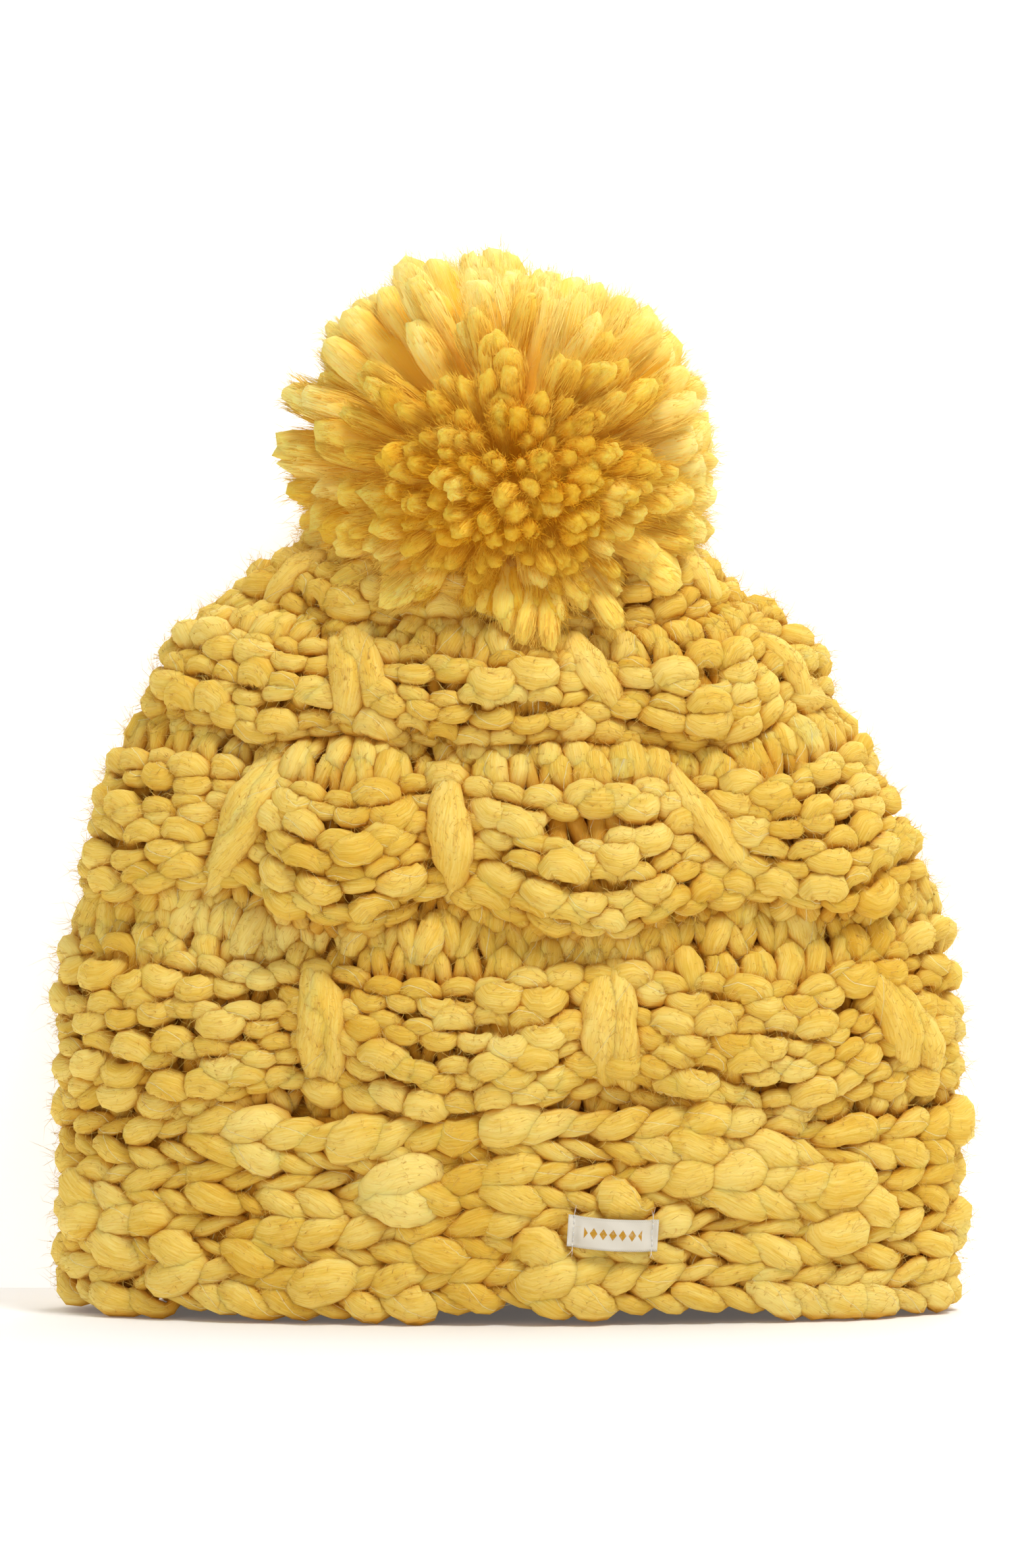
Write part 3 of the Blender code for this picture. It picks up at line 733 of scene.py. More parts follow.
def build_fuzz(name, yarns, finish, rng):
    """Stray fibres that lift off the yarns."""
    count = FUZZ_COUNT
    points = np.concatenate(yarns.points)
    normals = np.concatenate(yarns.normals)
    radii = np.concatenate(yarns.radii)
    after = np.concatenate([np.roll(p, -1, axis=0) for p in yarns.points])
    along = after - points
    along /= np.linalg.norm(along, axis=1, keepdims=True) + 1e-12
    across = np.cross(along, normals)
    pick = rng.choice(len(points), count, p=radii / radii.sum())
    turn = rng.normal(math.pi / 2, 0.9, count)
    outward = across[pick] * np.cos(turn)[:, None] + normals[pick] * np.sin(turn)[:, None]
    roots = points[pick] + outward * radii[pick][:, None] * 0.97
    sway = rng.choice([-1.0, 1.0], count) * rng.uniform(0.3, 1.0, count)
    direction = outward * 0.55 + along[pick] * sway[:, None] + rng.normal(0, 0.28, (count, 3))
    bends = rng.normal(0, 0.35, (count, 3)) - outward * 0.12
    lengths = np.clip(rng.gamma(2.2, FUZZ_LENGTH / 2.2, count), 0.8, FUZZ_LENGTH * 2.0)
    near_floor = roots[:, 2] < 9
    direction[:, 2] = np.where(near_floor, np.abs(direction[:, 2]), direction[:, 2])
    bends[:, 2] = np.where(near_floor, np.abs(bends[:, 2]), bends[:, 2])
    near = np.abs(roots[:, 1]) + lengths * 1.6 < FUZZ_LIMIT
    parts = Parts()
    add_hairs(parts, roots[near], direction[near], bends[near], lengths[near], FINE_FIBRE, 0.3)
    make_object(name, parts.mesh(name), finish, "hat")


# --- Pom pom ---


def crown_half_axes(z):
    """Half the width and half the depth of the puffed crown at these heights."""
    share = np.interp(z, DOME_HEIGHTS, DOME_SHARES, left=1.0, right=0.0)
    grown = 7.0 * smoothstep(DOME_TOP + 4, DOME_TOP - 20, z)
    half_width = CROWN_HALF_WIDTH * share + grown + 2
    half_depth = CROWN_HALF_DEPTH * share**DEPTH_POWER + grown + 2
    return half_width, half_depth


def keep_off_crown(points, thickness):
    """Moves points that lie in the crown forwards or backwards onto it. Gives them and how far they moved."""
    half_width, half_depth = crown_half_axes(points[:, 2])
    inside_x = np.clip(1 - (points[:, 0] / half_width) ** 2, 0, 1)
    edge = half_depth * np.sqrt(inside_x) + thickness
    y = points[:, 1] + LEAN_FORWARD * 0.5
    blocked = (points[:, 2] < DOME_TOP + 2) & (np.abs(y) < edge)
    side = np.where(y > 8, 1.0, -1.0)
    moved = points.copy()
    moved[:, 1] = np.where(blocked, side * edge - LEAN_FORWARD * 0.5, points[:, 1])
    return moved, np.where(blocked, np.abs(moved[:, 1] - points[:, 1]), 0)


def spread_directions(count, rng):
    """Directions spread evenly over a ball, with a little disorder."""
    i = np.arange(count) + 0.5
    polar = np.arccos(1 - 2 * i / count)
    turn = math.pi * (1 + 5**0.5) * i
    even = np.stack([np.sin(polar) * np.cos(turn), np.cos(polar), np.sin(polar) * np.sin(turn)], -1)
    mixed = even + rng.normal(0, 0.055, even.shape)
    return mixed / np.linalg.norm(mixed, axis=1, keepdims=True)


def pom_directions(rng):
    """Where the cut ends point: evenly all round, and closer together at the end that faces forward."""
    everywhere = spread_directions(POM_STRANDS, rng)
    toward = -everywhere[:, 1]
    between = (toward > 0.3) & (toward < 0.85) & (everywhere[:, 2] > -0.15)
    everywhere = everywhere[~between | (rng.uniform(0, 1, POM_STRANDS) < 0.5)]
    near_pole = rng.normal(0, 0.42, (POM_POLE_STRANDS, 2))
    front = np.stack([near_pole[:, 0] + 0.08, -np.ones(POM_POLE_STRANDS), near_pole[:, 1] - 0.2], -1)
    front /= np.linalg.norm(front, axis=1, keepdims=True)
    return np.concatenate([everywhere, front])


def pom_painted_light(direction):
    """Painted light on the cut ends: paler at the top, on the right and round the outline, where light falls,
    and in painted shade, deep gold, where they face forward.
    """
    facing = max(0.0, direction @ np.array([0.07, -0.96, -0.27]))
    return 0.45 * max(0.0, direction[2]) + 0.2 * direction[0] - 1.5 * facing**1.6


class Strand(NamedTuple):
    """One cut strand from the tie to its tip."""

    hidden: bool
    rests: bool
    painted_light_and_tone: float
    points: np.ndarray
    radii: np.ndarray


def pom_strand(direction, waves, rng):
    """The strand that heads this way. The waves gather neighbours into tufts."""
    facing = max(0.0, -direction[1])
    below = max(0.0, -direction[2] - 0.2) * facing
    uneven = np.clip(POM_UNEVEN * rng.normal(), -2 * POM_UNEVEN, 0.06)
    reach = POM_RADIUS * (1 + uneven) * (1 - 0.05 * facing - 0.16 * below)
    reach = reach * (1 + 2 * POM_LOPSIDED * max(0.0, -direction[0]) * max(0.0, direction[2]))
    pull = [math.sin(direction @ along + start) for along, start in waves]
    gather = np.array([pull[0] + pull[1], pull[2] + pull[3], pull[4] + pull[5]])
    tip = POM_CENTRE + direction * POM_WIDEN * reach + gather * TUFT_PULL
    straight = tip - POM_CORE
    length = np.linalg.norm(straight)
    heading = straight / length
    bend = rng.normal(0, 1, 3)
    bend -= bend @ heading * heading
    drop = np.array([0, 0, -1.0]) - heading * -heading[2]
    t = np.linspace(0, 1, STRAND_POINTS)
    points = POM_CORE + np.outer(0.12 + 0.88 * t, straight)
    points = points + np.outer(np.sin(math.pi * t), bend) * 1.6 + np.outer(t**2, drop) * 1.2
    width = rng.uniform(0.7, 1.25) * (5.6 - 2.3 * facing**1.5) * (1 - 0.7 * below)
    points, moved = keep_off_crown(points, width)
    swell = 1 + 0.10 * wander(t * length, 9, rng)
    radii = width * np.interp(t, STRAND_SHAPE_AT, STRAND_SHAPE) * swell
    # Painted light from the way the strand heads, and a random difference in tone
    painted_light_and_tone = pom_painted_light(direction) + rng.normal(0, 0.16)
    rests = moved[-1] > 0.5 or direction[2] < REST_BELOW
    return Strand(moved[-1] > HIDDEN_PAST, rests, painted_light_and_tone, points, radii)


def add_pom_strand(parts, hairs, strand, rng):
    """A strand's core, which is a ragged tube, and the fibres that cover it."""
    points, radii = strand.points, strand.radii
    t = np.linspace(0, 1, STRAND_POINTS)
    heading = points[-1] - points[0]
    towards = np.cross(heading, [0.2, 0.9, 0.4])
    normals = np.tile(towards / np.linalg.norm(towards), (len(t), 1))
    # Painted light and shade in the tone: paler towards the cut end, darker towards the tie inside the ball,
    # paler with the strand's painted light, and a random tone
    tone = rng.normal(0, 0.25) + strand.painted_light_and_tone + 1.2 * t - 0.7
    core = radii * np.interp(t, [0, 0.6, 0.85, 0.95, 1.0], [0.95, 0.90, 0.86, 0.78, 0.55])
    # Painted shade: the part of the strand deep inside the ball counts as folded away
    depth = 16 * (t - 0.3) - core
    inner = POM_CORE + (points - POM_CORE) * 0.985
    add_tube(parts, inner, normals, core, rng, sides=12, tone=tone, twist=0.008, ragged=0.1, depth=depth)
    add_strand_fibres(hairs, points, radii, rng)
    add_loose_fibres(hairs, points, radii, rng)


def build_pom(deep, pale, hair_finishes):
    """The pom pom: cut yarn ends, small and close where they face forward and broad round the outline, where
    painted light makes them pale.

    The strands that lie on the crown stay with the hat when the pom pom tips, as pressed yarn does.
    """
    rng = np.random.default_rng(5)
    waves = [(rng.normal(0, 4.5, 3), rng.uniform(0, 6)) for _ in range(6)]
    strands = [pom_strand(direction, waves, rng) for direction in pom_directions(rng)]
    # The strands go in order of painted light, so each piece is a step from shaded to lit
    strands = sorted((strand for strand in strands if not strand.hidden), key=lambda strand: strand.painted_light_and_tone)
    free = [strand for strand in strands if not strand.rests]
    resting = [strand for strand in strands if strand.rests]
    pieces = [("pom", "pom", free, hair_finishes), ("pom_skirt", "hat", resting, hair_finishes[1::3])]
    for name, body, group, finishes in pieces:
        shares = np.array_split(np.arange(len(group)), len(finishes))
        for piece, (share, hair_finish) in enumerate(zip(shares, finishes), 1):
            parts, hairs = Parts(), Parts()
            for i in share:
                add_pom_strand(parts, hairs, group[i], rng)
            replaced = ("pom_pile",) if (name, piece) == ("pom", 1) else ()
            tubes, fibres = f"{name}_strands_{piece}", f"{name}_fibres_{piece}"
            # Pieces in the more lit half take the lit copy of the pom yarn, the others the shaded copy
            finish = pale if piece > len(finishes) / 2 else deep
            make_object(tubes, parts.mesh(tubes), finish, body, replaced)
            make_object(fibres, hairs.mesh(fibres), hair_finish, body)


def strand_places(points, radii, at):
    """Points, directions and thicknesses at these shares of the way along a strand."""
    where = np.clip(at, 0, 1) * (len(points) - 1)
    low = np.minimum(where.astype(int), len(points) - 2)
    part = (where - low)[:, None]
    centre = points[low] * (1 - part) + points[low + 1] * part
    heading = points[low + 1] - points[low]
    heading = heading / np.linalg.norm(heading, axis=1, keepdims=True)
    thick = radii[low] * (1 - part[:, 0]) + radii[low + 1] * part[:, 0]
    return centre, heading, thick[:, None]


def sideways(heading, rng):
    """Random directions square to these headings."""
    side = rng.normal(0, 1, heading.shape)
    side -= (side * heading).sum(1, keepdims=True) * heading
    return side / np.linalg.norm(side, axis=1, keepdims=True)


def add_strand_fibres(hairs, points, radii, rng):
    """The strand's own fibres: they lie along it, fan out a little and end unevenly where it was cut."""
    count = STRAND_FIBRES
    start = rng.uniform(0.5, 0.93, count)
    centre, heading, thick = strand_places(points, radii, start)
    side = sideways(heading, rng)
    roots = centre + side * thick * rng.uniform(0.45, 0.85, (count, 1))
    end, end_heading, _ = strand_places(points, radii, np.ones(count))
    widest = radii.max()
    fan = rng.uniform(0.01, 1, (count, 1)) ** 0.55
    tips = end + side * widest * fan + end_heading * (0.7 - 1.8 * fan**2.5 + rng.normal(0, 0.6, (count, 1)))
    tips = tips + rng.normal(0, 0.35, (count, 3))
    chord = tips - roots
    lengths = np.linalg.norm(chord, axis=1)
    direction = chord / lengths[:, None]
    direction = direction + side * 0.10
    bends = chord / lengths[:, None] - direction / np.linalg.norm(direction, axis=1, keepdims=True)
    add_hairs(hairs, roots, direction, bends, lengths, STRAND_FIBRE, 0.4)


def add_loose_fibres(hairs, points, radii, rng):
    """Fine fibres that stand out of the strand, most of them at its cut end."""
    count = LOOSE_FIBRES
    centre, heading, thick = strand_places(points, radii, 1 - 0.5 * rng.uniform(0, 1, count) ** 1.8)
    side = sideways(heading, rng)
    roots = centre + side * thick * rng.uniform(0.5, 1.0, (count, 1))
    direction = heading + side * rng.uniform(0.0, 1.0, (count, 1)) + rng.normal(0, 0.2, (count, 3))
    lengths = rng.uniform(1.5, 4.5, count)
    add_hairs(hairs, roots, direction, rng.normal(0, 0.25, (count, 3)), lengths, FINE_FIBRE, 0.4)


# --- Labels ---


def slab(outer, inner):
    """Points and faces of a closed slab between two matching open grids."""
    rows, columns = outer.shape[:2]
    size = rows * columns
    index = np.arange(size).reshape(rows, columns)
    a, b, c, d = index[:-1, :-1], index[:-1, 1:], index[1:, 1:], index[1:, :-1]
    skin = np.stack([a, b, c, d], -1).reshape(-1, 4)
    rim = np.concatenate([index[0], index[1:, -1], index[-1, -2::-1], index[-2:0:-1, 0]])
    nexts = np.roll(rim, -1)
    edge = np.stack([nexts, rim, rim + size, nexts + size], -1)
    faces = np.concatenate([skin, skin[:, ::-1] + size, edge])
    verts = np.concatenate([outer.reshape(-1, 3), inner.reshape(-1, 3)])
    return verts, faces


def build_label(ribbon, thread):
    """The woven label, pinned by a line of stitches near each end and bowed between them."""
    u = np.linspace(-LABEL_LENGTH / 2, LABEL_LENGTH / 2, 47)[None]
    v = np.linspace(-LABEL_HEIGHT / 2, LABEL_HEIGHT / 2, 17)[:, None]
    pinned = np.abs(u) / (LABEL_LENGTH / 2)
    x = LABEL_X + u - v * LABEL_TILT
    droop = 0.55 * (pinned**2 - 0.5)
    z = LABEL_Z + v + u * LABEL_TILT + droop
    angle = -np.arccos(x / (BAND_HALF_WIDTH + 8))
    front = -(BAND_HALF_DEPTH + 8.0) * np.sin(-angle)
    pulled_in = 1.1 * np.exp(-(((np.abs(u) - LABEL_PIN) / 1.1) ** 2))
    dip = pulled_in - 0.5 * np.cos(u / 4.2) - 0.25 * np.sin(v * 0.9 + u * 0.5)
    y = front + dip + 0 * v
    outer = np.stack([x, y, z], -1)
    verts, faces = slab(outer, outer + np.array([0, LABEL_THICKNESS, 0]))
    flat = np.stack([u + 0 * v, v + 0 * u, 0 * (u + v)], -1).reshape(-1, 3)
    coords = np.concatenate([flat, flat])
    parts = Parts()
    parts.add(verts, [faces[:, ::-1]], [4], coords, coords, np.zeros(len(verts)))
    make_object("woven_label", parts.mesh("woven_label"), ribbon, "hat", ("logo_label",))
    for side, node in ((-1, "logo_thread_left"), (1, "logo_thread_right")):
        build_label_stitches(side, outer, thread, node)


def build_label_stitches(side, outer, thread, node):
    """A dashed line of small stitches across the label's end, with a loose tail above and below."""
    parts = Parts()
    rng = np.random.default_rng(11 + side)
    column = int(round((side * LABEL_PIN + LABEL_LENGTH / 2) / LABEL_LENGTH * (outer.shape[1] - 1)))
    line = outer[:, column]
    marks = np.linspace(0.5, outer.shape[0] - 1.5, 6)
    for mark in marks:
        t = np.linspace(0, 1, 7)
        at = np.clip(mark + (t - 0.5) * 1.9, 0, outer.shape[0] - 1)
        low = np.minimum(at.astype(int), outer.shape[0] - 2)
        points = line[low] + (line[low + 1] - line[low]) * (at - low)[:, None]
        points[:, 1] -= 0.08 + 0.22 * np.sin(math.pi * t)
        points[:, 0] += rng.normal(0, 0.08)
        normals = np.tile([0.0, -1.0, 0.0], (len(t), 1))
        add_tube(parts, points, normals, np.full(len(t), 0.15), rng, sides=6)
    for end in (0, -1):
        for _ in range(3):
            t = np.linspace(0, 1, 9)
            reach = rng.uniform(1.5, 3.2) * (-1 if end == 0 else 1)
            tail = [rng.normal(0, 0.9) * t**2, -0.5 - 0.6 * np.sin(math.pi * t), reach * t]
            points = line[end] + np.stack(tail, -1)
            normals = np.tile([0.0, -1.0, 0.0], (len(t), 1))
            add_tube(parts, points, normals, np.linspace(0.07, 0.03, len(t)), rng, sides=5)
    name = f"label_stitches_{'left' if side < 0 else 'right'}"
    make_object(name, parts.mesh(node), thread, "hat", (node,))


# --- Materials ---


def srgb(r, g, b):
    """A colour given as 0 to 255 display values, as the linear values that shaders use."""
    made = []
    for channel in (r, g, b):
        c = channel / 255
        made.append(c / 12.92 if c <= 0.04045 else ((c + 0.055) / 1.055) ** 2.4)
    return (*made, 1)


class Shader:
    """A small wrapper for building a material's nodes."""

    def __init__(self, name, roughness, sheen=0.0, tint=(1, 1, 1, 1), under=0.0):
        self.material = bpy.data.materials.new(name)
        self.material.use_nodes = True
        self.tree = self.material.node_tree
        self.shader = self.tree.nodes["Principled BSDF"]
        self.set(self.shader, "Roughness", roughness)
        self.set(self.shader, "Sheen Weight", sheen)
        self.set(self.shader, "Sheen Tint", tint)
        self.set(self.shader, "Specular IOR Level", 0.15)
        self.set(self.shader, "Subsurface Weight", under)
        self.set(self.shader, "Subsurface Radius", (1, 0.6, 0.2))
        self.set(self.shader, "Subsurface Scale", 0.0022)

    def glow(self, colour, strength):
        """Stands for the light that loose fibre lets through."""
        self.set(self.shader, "Emission Color", colour)
        self.set(self.shader, "Emission Strength", strength)

    def set(self, node, socket, value):
        if isinstance(value, bpy.types.NodeSocket):
            self.tree.links.new(value, node.inputs[socket])
        else:
            node.inputs[socket].default_value = value

    def attribute(self, name):
        node = self.tree.nodes.new("ShaderNodeAttribute")
        node.attribute_name = name
        return node

    def scaled(self, vector, scale):
        node = self.tree.nodes.new("ShaderNodeVectorMath")
        node.operation = "MULTIPLY"
        self.set(node, 0, vector)
        node.inputs[1].default_value = scale
        return node.outputs[0]

    def noise(self, vector, scale, detail=2.0, roughness=0.5):
        node = self.tree.nodes.new("ShaderNodeTexNoise")
        self.set(node, "Vector", vector)
        self.set(node, "Scale", scale)
        self.set(node, "Detail", detail)
        self.set(node, "Roughness", roughness)
        return node.outputs["Fac"]

    def maths(self, operation, *values):
        node = self.tree.nodes.new("ShaderNodeMath")
        node.operation = operation
        for i, value in enumerate(values):
            self.set(node, i, value)
        return node.outputs[0]

    def times(self, first, second):
        return self.maths("MULTIPLY", first, second)

    def plus(self, first, second):
        return self.maths("ADD", first, second)

    def split(self, vector):
        """The X, Y and Z of a vector."""
        node = self.tree.nodes.new("ShaderNodeSeparateXYZ")
        self.set(node, 0, vector)
        return node.outputs

    def ramp(self, value, low, high, out_low=0.0, out_high=1.0):
        node = self.tree.nodes.new("ShaderNodeMapRange")
        node.interpolation_type = "SMOOTHSTEP"
        for socket, given in (("Value", value), ("From Min", low), ("From Max", high)):
            self.set(node, socket, given)
        self.set(node, "To Min", out_low)
        self.set(node, "To Max", out_high)
        return node.outputs["Result"]

    def mix(self, factor, first, second):
        node = self.tree.nodes.new("ShaderNodeMix")
        node.data_type = "RGBA"
        self.set(node, "Factor", factor)
        for index, value in ((6, first), (7, second)):
            self.set(node, index, value)
        return node.outputs[2]

    def crease(self, reach):
        """1 where something else lies close in front of the surface, 0 where it is open: the mask for painted
        shade in creases.
        """
        node = self.tree.nodes.new("ShaderNodeAmbientOcclusion")
        node.samples = 6
        self.set(node, "Distance", reach)
        return self.ramp(node.outputs["AO"], 0.30, 0.85, 1.0, 0.0)

    def far_away(self, amount):
        """Rises from 0 near the hat to this amount far from it."""
        reach = self.tree.nodes.new("ShaderNodeVectorMath")
        reach.operation = "LENGTH"
        self.set(reach, 0, self.tree.nodes.new("ShaderNodeNewGeometry").outputs["Position"])
        return self.ramp(reach.outputs["Value"], 0.55, 1.6, 0.0, amount)

    def seen(self, amount):
        """This amount to the camera, and 0 to light on its way between surfaces."""
        path = self.tree.nodes.new("ShaderNodeLightPath")
        return self.times(path.outputs["Is Camera Ray"], amount)

    def bump(self, height, distance, strength=1.0, below=None):
        node = self.tree.nodes.new("ShaderNodeBump")
        self.set(node, "Height", height)
        self.set(node, "Distance", distance)
        self.set(node, "Strength", strength)
        if below is not None:
            self.set(node, "Normal", below)
        return node.outputs[0]

    def coordinates(self):
        return self.tree.nodes.new("ShaderNodeTexCoord").outputs["Object"]


def yarn_material(name, shades, painted_shade, line, streak_depth, under, tone_gain=0.1, glow=0.0, crease_shade=0.8):
    """Roving yarn: fibres run along it in streaks, and a fine lighter thread, the line, winds round it.

    shades are its deep, middle and light colours, and the colour given after them is painted shade: folds and
    creases are darkened towards it, the creases as strongly as the last argument says.
    """
    deep, middle, light, painted_shade = (srgb(*shade) for shade in (*shades, painted_shade))
    made = Shader(name, 0.92, sheen=0.05, tint=light, under=under)
    fibre = made.attribute("fibre").outputs["Vector"]
    tone = made.attribute("tone").outputs["Fac"]
    streaks = made.noise(made.scaled(fibre, (4.6, 4.6, 0.22)), 1.0, 4.0, 0.62)
    wisps = made.noise(made.scaled(fibre, (0.6, 0.6, 0.08)), 1.0)
    blotches = made.noise(made.coordinates(), 26.0)
    shade = made.plus(made.times(streaks, 0.55), made.times(wisps, 0.35))
    shade = made.plus(shade, made.times(blotches, 0.40))
    shade = made.plus(shade, made.times(tone, tone_gain))
    colour = made.mix(made.ramp(shade, 0.35, 0.72), deep, middle)
    colour = made.mix(made.ramp(shade, 0.56, 0.92), colour, light)
    # Painted shade: darker where the yarn folds into the cloth
    fold_shade = made.attribute("fold_shade").outputs["Fac"]
    colour = made.mix(made.times(fold_shade, 0.85), colour, painted_shade)
    # Painted shade: darker in creases, where ambient occlusion finds something close in front
    colour = made.mix(made.times(made.crease(0.003), crease_shade), colour, painted_shade)
    height = made.plus(streaks, made.times(wisps, 0.8))
    normal = made.bump(height, streak_depth, 0.9)
    if line is not None:
        binder = made.split(made.attribute("binder").outputs["Vector"])
        angle = made.maths("ABSOLUTE", made.maths("ARCTAN2", binder["Y"], binder["X"]))
        mask = made.ramp(made.times(angle, binder["Z"]), 0.08, 0.22, 1.0, 0.0)
        colour = made.mix(made.times(mask, 0.6), colour, srgb(*line))
        normal = made.bump(mask, 0.00022, 0.8, normal)
    made.set(made.shader, "Base Color", colour)
    made.set(made.shader, "Normal", normal)
    made.glow(colour, glow)
    return made.material


def plain_cloth(name, first, second, scale, depth, sheen=0.0):
    """Matte cloth or thread, mottled between two colours."""
    made = Shader(name, 0.95, sheen=sheen)
    pattern = made.noise(made.coordinates(), scale, 4.0, 0.6)
    colour = made.mix(made.ramp(pattern, 0.35, 0.68), srgb(*first), srgb(*second))
    made.set(made.shader, "Base Color", colour)
    made.set(made.shader, "Normal", made.bump(pattern, depth, 0.8))
    return made.material


def hair_material(name, colour, glow=0.0):
    """Loose fibre, too fine to show any pattern."""
    made = Shader(name, 0.85)
    made.set(made.shader, "Base Color", srgb(*colour))
    made.glow(srgb(*colour), glow)
    return made.material


def ribbon_material(name, ground, motif_colour):
    """A satin ribbon with woven edges and, in place of any mark, a row of plain diamonds."""
    made = Shader(name, 0.55, sheen=0.15)
    across = made.split(made.attribute("fibre").outputs["Vector"])
    u, v = across["X"], across["Y"]
    up = made.maths("ABSOLUTE", v)
    warp = made.maths("SINE", made.times(u, 26.0))
    weft = made.maths("SINE", made.times(v, 21.0))
    weave = made.times(warp, weft)
    slant = made.maths("SINE", made.times(made.plus(u, made.times(v, 0.9)), 12.0))
    edge = made.times(made.ramp(up, 3.35, 3.6), made.ramp(slant, -0.5, 0.6))
    repeat = made.maths("PINGPONG", made.plus(u, 100.0), 1.25)
    diamond = made.ramp(made.plus(made.times(repeat, 1.45), up), 1.38, 1.52, 1.0, 0.0)
    motif = made.times(diamond, made.ramp(made.maths("ABSOLUTE", u), 7.4, 7.6, 1.0, 0.0))
    wool = made.noise(made.coordinates(), 900.0)
    shade = made.mix(made.times(made.ramp(weave, -0.6, 0.9), 0.35), srgb(*ground), srgb(214, 206, 190))
    shade = made.mix(made.times(edge, 0.45), shade, srgb(196, 186, 166))
    shade = made.mix(made.times(motif, made.ramp(wool, 0.25, 0.5, 0.75, 1.0)), shade, srgb(*motif_colour))
    made.set(made.shader, "Base Color", shade)
    height = made.plus(weave, made.times(motif, 1.5))
    made.set(made.shader, "Normal", made.bump(height, 0.00006, 0.8))
    return made.material


# --- Stage ---


def stage_shader(name, grey):
    """A plain pale surface with a white glow, whose strength is still to be set."""
    made = Shader(name, 0.9)
    made.set(made.shader, "Base Color", (grey, grey, grey, 1))
    made.set(made.shader, "Emission Color", (1, 1, 1, 1))
    return made


def backdrop_material(name, grey, glow):
    """White that glows to the front, and is clear from behind, so that the hat's back can be seen."""
    made = stage_shader(name, grey)
    made.set(made.shader, "Emission Strength", made.plus(made.seen(made.far_away(0.6)), glow))
    geometry = made.tree.nodes.new("ShaderNodeNewGeometry")
    clear = made.tree.nodes.new("ShaderNodeBsdfTransparent")
    either = made.tree.nodes.new("ShaderNodeMixShader")
    made.set(either, 0, geometry.outputs["Backfacing"])
    made.set(either, 1, made.shader.outputs[0])
    made.set(either, 2, clear.outputs[0])
    made.set(made.tree.nodes["Material Output"], "Surface", either.outputs[0])
    return made.material


def floor_material(name, grey, glow, behind):
    """Pale floor. The camera sees more glow far off and behind the backdrop, where less light falls."""
    made = stage_shader(name, grey)
    place = made.split(made.tree.nodes.new("ShaderNodeNewGeometry").outputs["Position"])
    back = made.ramp(place["Y"], (behind - 1) * MM, (behind + 1) * MM, 0.0, 0.35)
    extra = made.seen(made.plus(made.far_away(0.75), back))
    made.set(made.shader, "Emission Strength", made.plus(extra, glow))
    return made.material


def plane(name, corners, finish):
    """One flat face of the stage."""
    mesh = bpy.data.meshes.new(name)
    mesh.from_pydata([[c * MM for c in corner] for corner in corners], [], [range(len(corners))])
    mesh.materials.append(finish)
    obj = bpy.data.objects.new(name, mesh)
    bpy.context.scene.collection.objects.link(obj)
    return obj


def area_light(name, place, target, size, power, colour=(1, 1, 1)):
    """A round soft light that faces its target."""
    data = bpy.data.lights.new(name, "AREA")
    data.shape = "DISK"
    data.size = size
    data.energy = power
    data.color = colour
    obj = bpy.data.objects.new(name, data)
    bpy.context.scene.collection.objects.link(obj)
    obj.location = Vector(place) * MM
    towards = Vector(target) * MM - obj.location
    obj.rotation_euler = towards.to_track_quat("-Z", "Y").to_euler()


def studio_world(strength):
    """Soft light from all round, which the camera sees as plain white."""
    world = bpy.data.worlds.new("studio")
    world.use_nodes = True
    tree = world.node_tree
    soft = tree.nodes["Background"]
    soft.inputs["Color"].default_value = (1, 1, 1, 1)
    soft.inputs["Strength"].default_value = strength
    white = tree.nodes.new("ShaderNodeBackground")
    white.inputs["Color"].default_value = (1, 1, 1, 1)
    either = tree.nodes.new("ShaderNodeMixShader")
    path = tree.nodes.new("ShaderNodeLightPath")
    tree.links.new(path.outputs["Is Camera Ray"], either.inputs[0])
    tree.links.new(soft.outputs[0], either.inputs[1])
    tree.links.new(white.outputs[0], either.inputs[2])
    tree.links.new(either.outputs[0], tree.nodes["World Output"].inputs["Surface"])
    return world


def build_stage():
    """A pale floor, a pale backdrop close behind the hat, three soft lights and the camera."""
    far, back = 3000, 67.0
    ground = [(-far, -far, 0), (far, -far, 0), (far, far, 0), (-far, far, 0)]
    wall = [(-far, back, 0), (far, back, 0), (far, back, far), (-far, back, far)]
    plane("floor", ground, floor_material("floor_white", 0.88, 0.08, back))
    drop = plane("backdrop", wall, backdrop_material("backdrop_white", 0.72, 0.52))
    drop.visible_shadow = False
    area_light("key", (430, -640, 1190), (0, 0, 120), 0.5, 12.6, (1.0, 0.995, 0.98))
    area_light("fill", (-500, -1200, 250), (0, 0, 120), 0.9, 3.2)
    area_light("back", (160, 850, 850), (0, 0, 60), 0.6, 4.6)
    bpy.context.scene.world = studio_world(0.24)
    bpy.context.scene.view_settings.view_transform = "Standard"
    camera = bpy.data.cameras.new("camera")
    camera.lens = CAMERA_LENS
    camera.sensor_width = SENSOR
    camera.clip_end = 100
    distance = VIEW_HEIGHT * CAMERA_LENS / SENSOR + VIEW_AHEAD
    viewer = bpy.data.objects.new("camera", camera)
    viewer.location = (CAMERA_SIDE * MM, -distance * MM, CAMERA_HEIGHT * MM)
    viewer.rotation_euler = (math.pi / 2, 0, 0)
    bpy.context.scene.collection.objects.link(viewer)
    bpy.context.scene.camera = viewer


def finish_cad_nodes(finish, *nodes):
    """Gives CAD nodes that are shown as they are this material."""
    for node in nodes:
        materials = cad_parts[node].data.materials
        materials.clear()
        materials.append(finish)


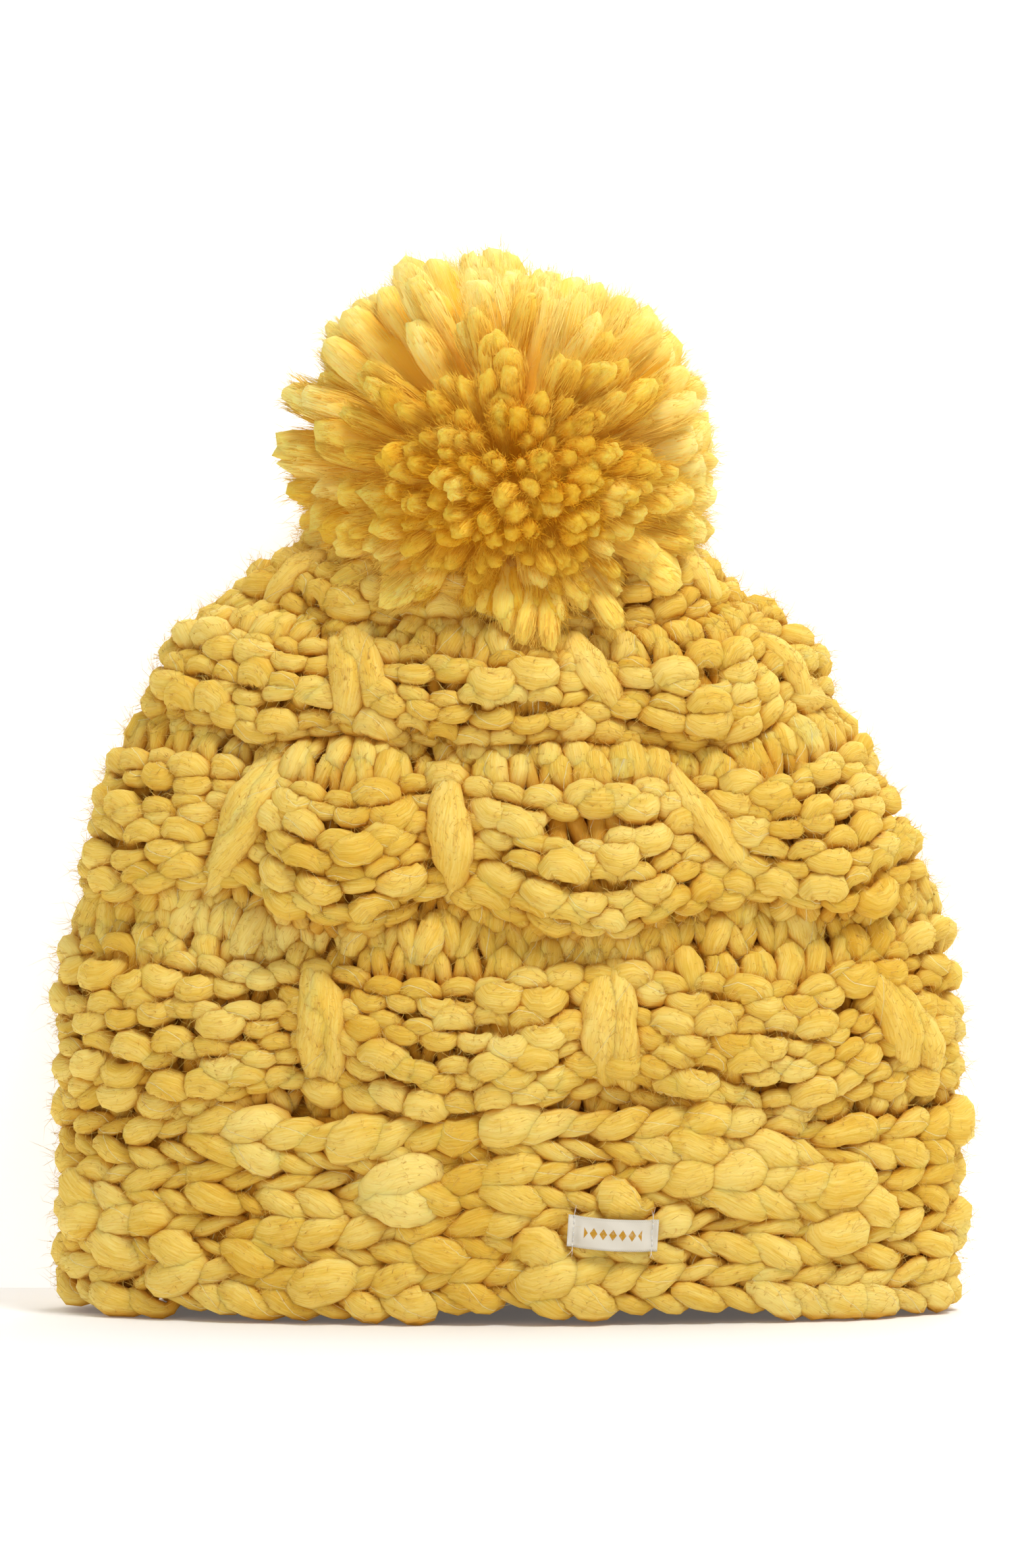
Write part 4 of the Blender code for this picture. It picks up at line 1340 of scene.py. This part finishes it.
def build_hat():
    """Makes every material, and every piece of the hat."""
    # The colour after each yarn's shades is the painted shade of its folds and creases.
    wool = yarn_material(
        "wool_yarn",
        ((218, 168, 50), (235, 197, 86), (246, 222, 132)),
        painted_shade=(208, 142, 30),
        line=(252, 236, 175),
        streak_depth=0.00035,
        under=0.3,
        tone_gain=0.09,
        glow=0.03,
    )
    slipped = yarn_material(
        "slipped_wool",
        ((222, 174, 60), (236, 199, 90), (246, 221, 130)),
        painted_shade=(208, 142, 30),
        line=(250, 232, 168),
        streak_depth=0.00025,
        under=0.3,
        glow=0.03,
    )
    # Painted light: the pom yarn comes as a shaded copy and a paler lit copy, which the pom pom's pieces take
    # by their painted light
    pile = yarn_material(
        "pom_yarn",
        ((236, 180, 42), (248, 210, 80), (251, 228, 126)),
        painted_shade=(220, 150, 20),
        line=None,
        streak_depth=0.0006,
        under=0.4,
        tone_gain=0.15,
        glow=0.12,
        crease_shade=0.7,
    )
    lit_pile = yarn_material(
        "pom_yarn_lit",
        ((242, 196, 74), (248, 216, 100), (252, 232, 148)),
        painted_shade=(240, 188, 62),
        line=None,
        streak_depth=0.0004,
        under=0.5,
        tone_gain=0.12,
        glow=0.12,
        crease_shade=0.5,
    )
    # Painted shade: the backing is the yarn's colour darkened, for the gaps behind the loops, and the cords
    # and knots hidden inside the hat and the pom pom take it too.
    cloth = plain_cloth("knit_back_shade", (186, 124, 28), (208, 150, 44), 420, 0.0008)
    fleece = plain_cloth("fleece", (206, 160, 62), (226, 184, 88), 900, 0.0008, sheen=0.3)
    hair = hair_material("wool_hair", (234, 198, 104))
    # Painted light: the pom pom's fibres come in steps from the most shaded colour to the most lit
    most_shaded, most_lit = np.array([232, 172, 34]), np.array([251, 228, 138])
    shares = (np.arange(POM_LIGHT_STEPS) / (POM_LIGHT_STEPS - 1)) ** 0.8
    shades = [most_shaded + (most_lit - most_shaded) * share for share in shares]
    pom_hairs = [hair_material(f"pom_hair_{i}", shade, 0.09) for i, shade in enumerate(shades, 1)]
    ribbon = ribbon_material("woven_ribbon", (238, 231, 216), (204, 150, 42))
    thread = plain_cloth("label_thread", (212, 208, 202), (236, 232, 226), 2500, 0.0001)
    sewing = plain_cloth("sewing_thread", (216, 176, 84), (232, 196, 110), 2500, 0.0001)

    yarns = Yarns()
    build_crown(wool, yarns, ("crown_shell", "crown_seam_yarn"))
    build_slipped_stitches(slipped, yarns)
    build_band(wool, yarns)
    build_backings(cloth, fleece)
    for part in range(FUZZ_PIECES):
        build_fuzz(f"yarn_fuzz_{part + 1}", yarns, hair, np.random.default_rng(40 + part))
    build_pom(pile, lit_pile, pom_hairs)
    build_label(ribbon, thread)
    finish_cad_nodes(cloth, "brim_seam_yarn", "join_yarn", "gather_cord", "tie_tails", "anchor_knot")
    finish_cad_nodes(cloth, "pom_knot", "pom_tie")
    finish_cad_nodes(sewing, "fleece_thread_upper", "fleece_thread_lower")
    finish_cad_nodes(thread, "care_label", "care_label_thread")


build_hat()
build_stage()
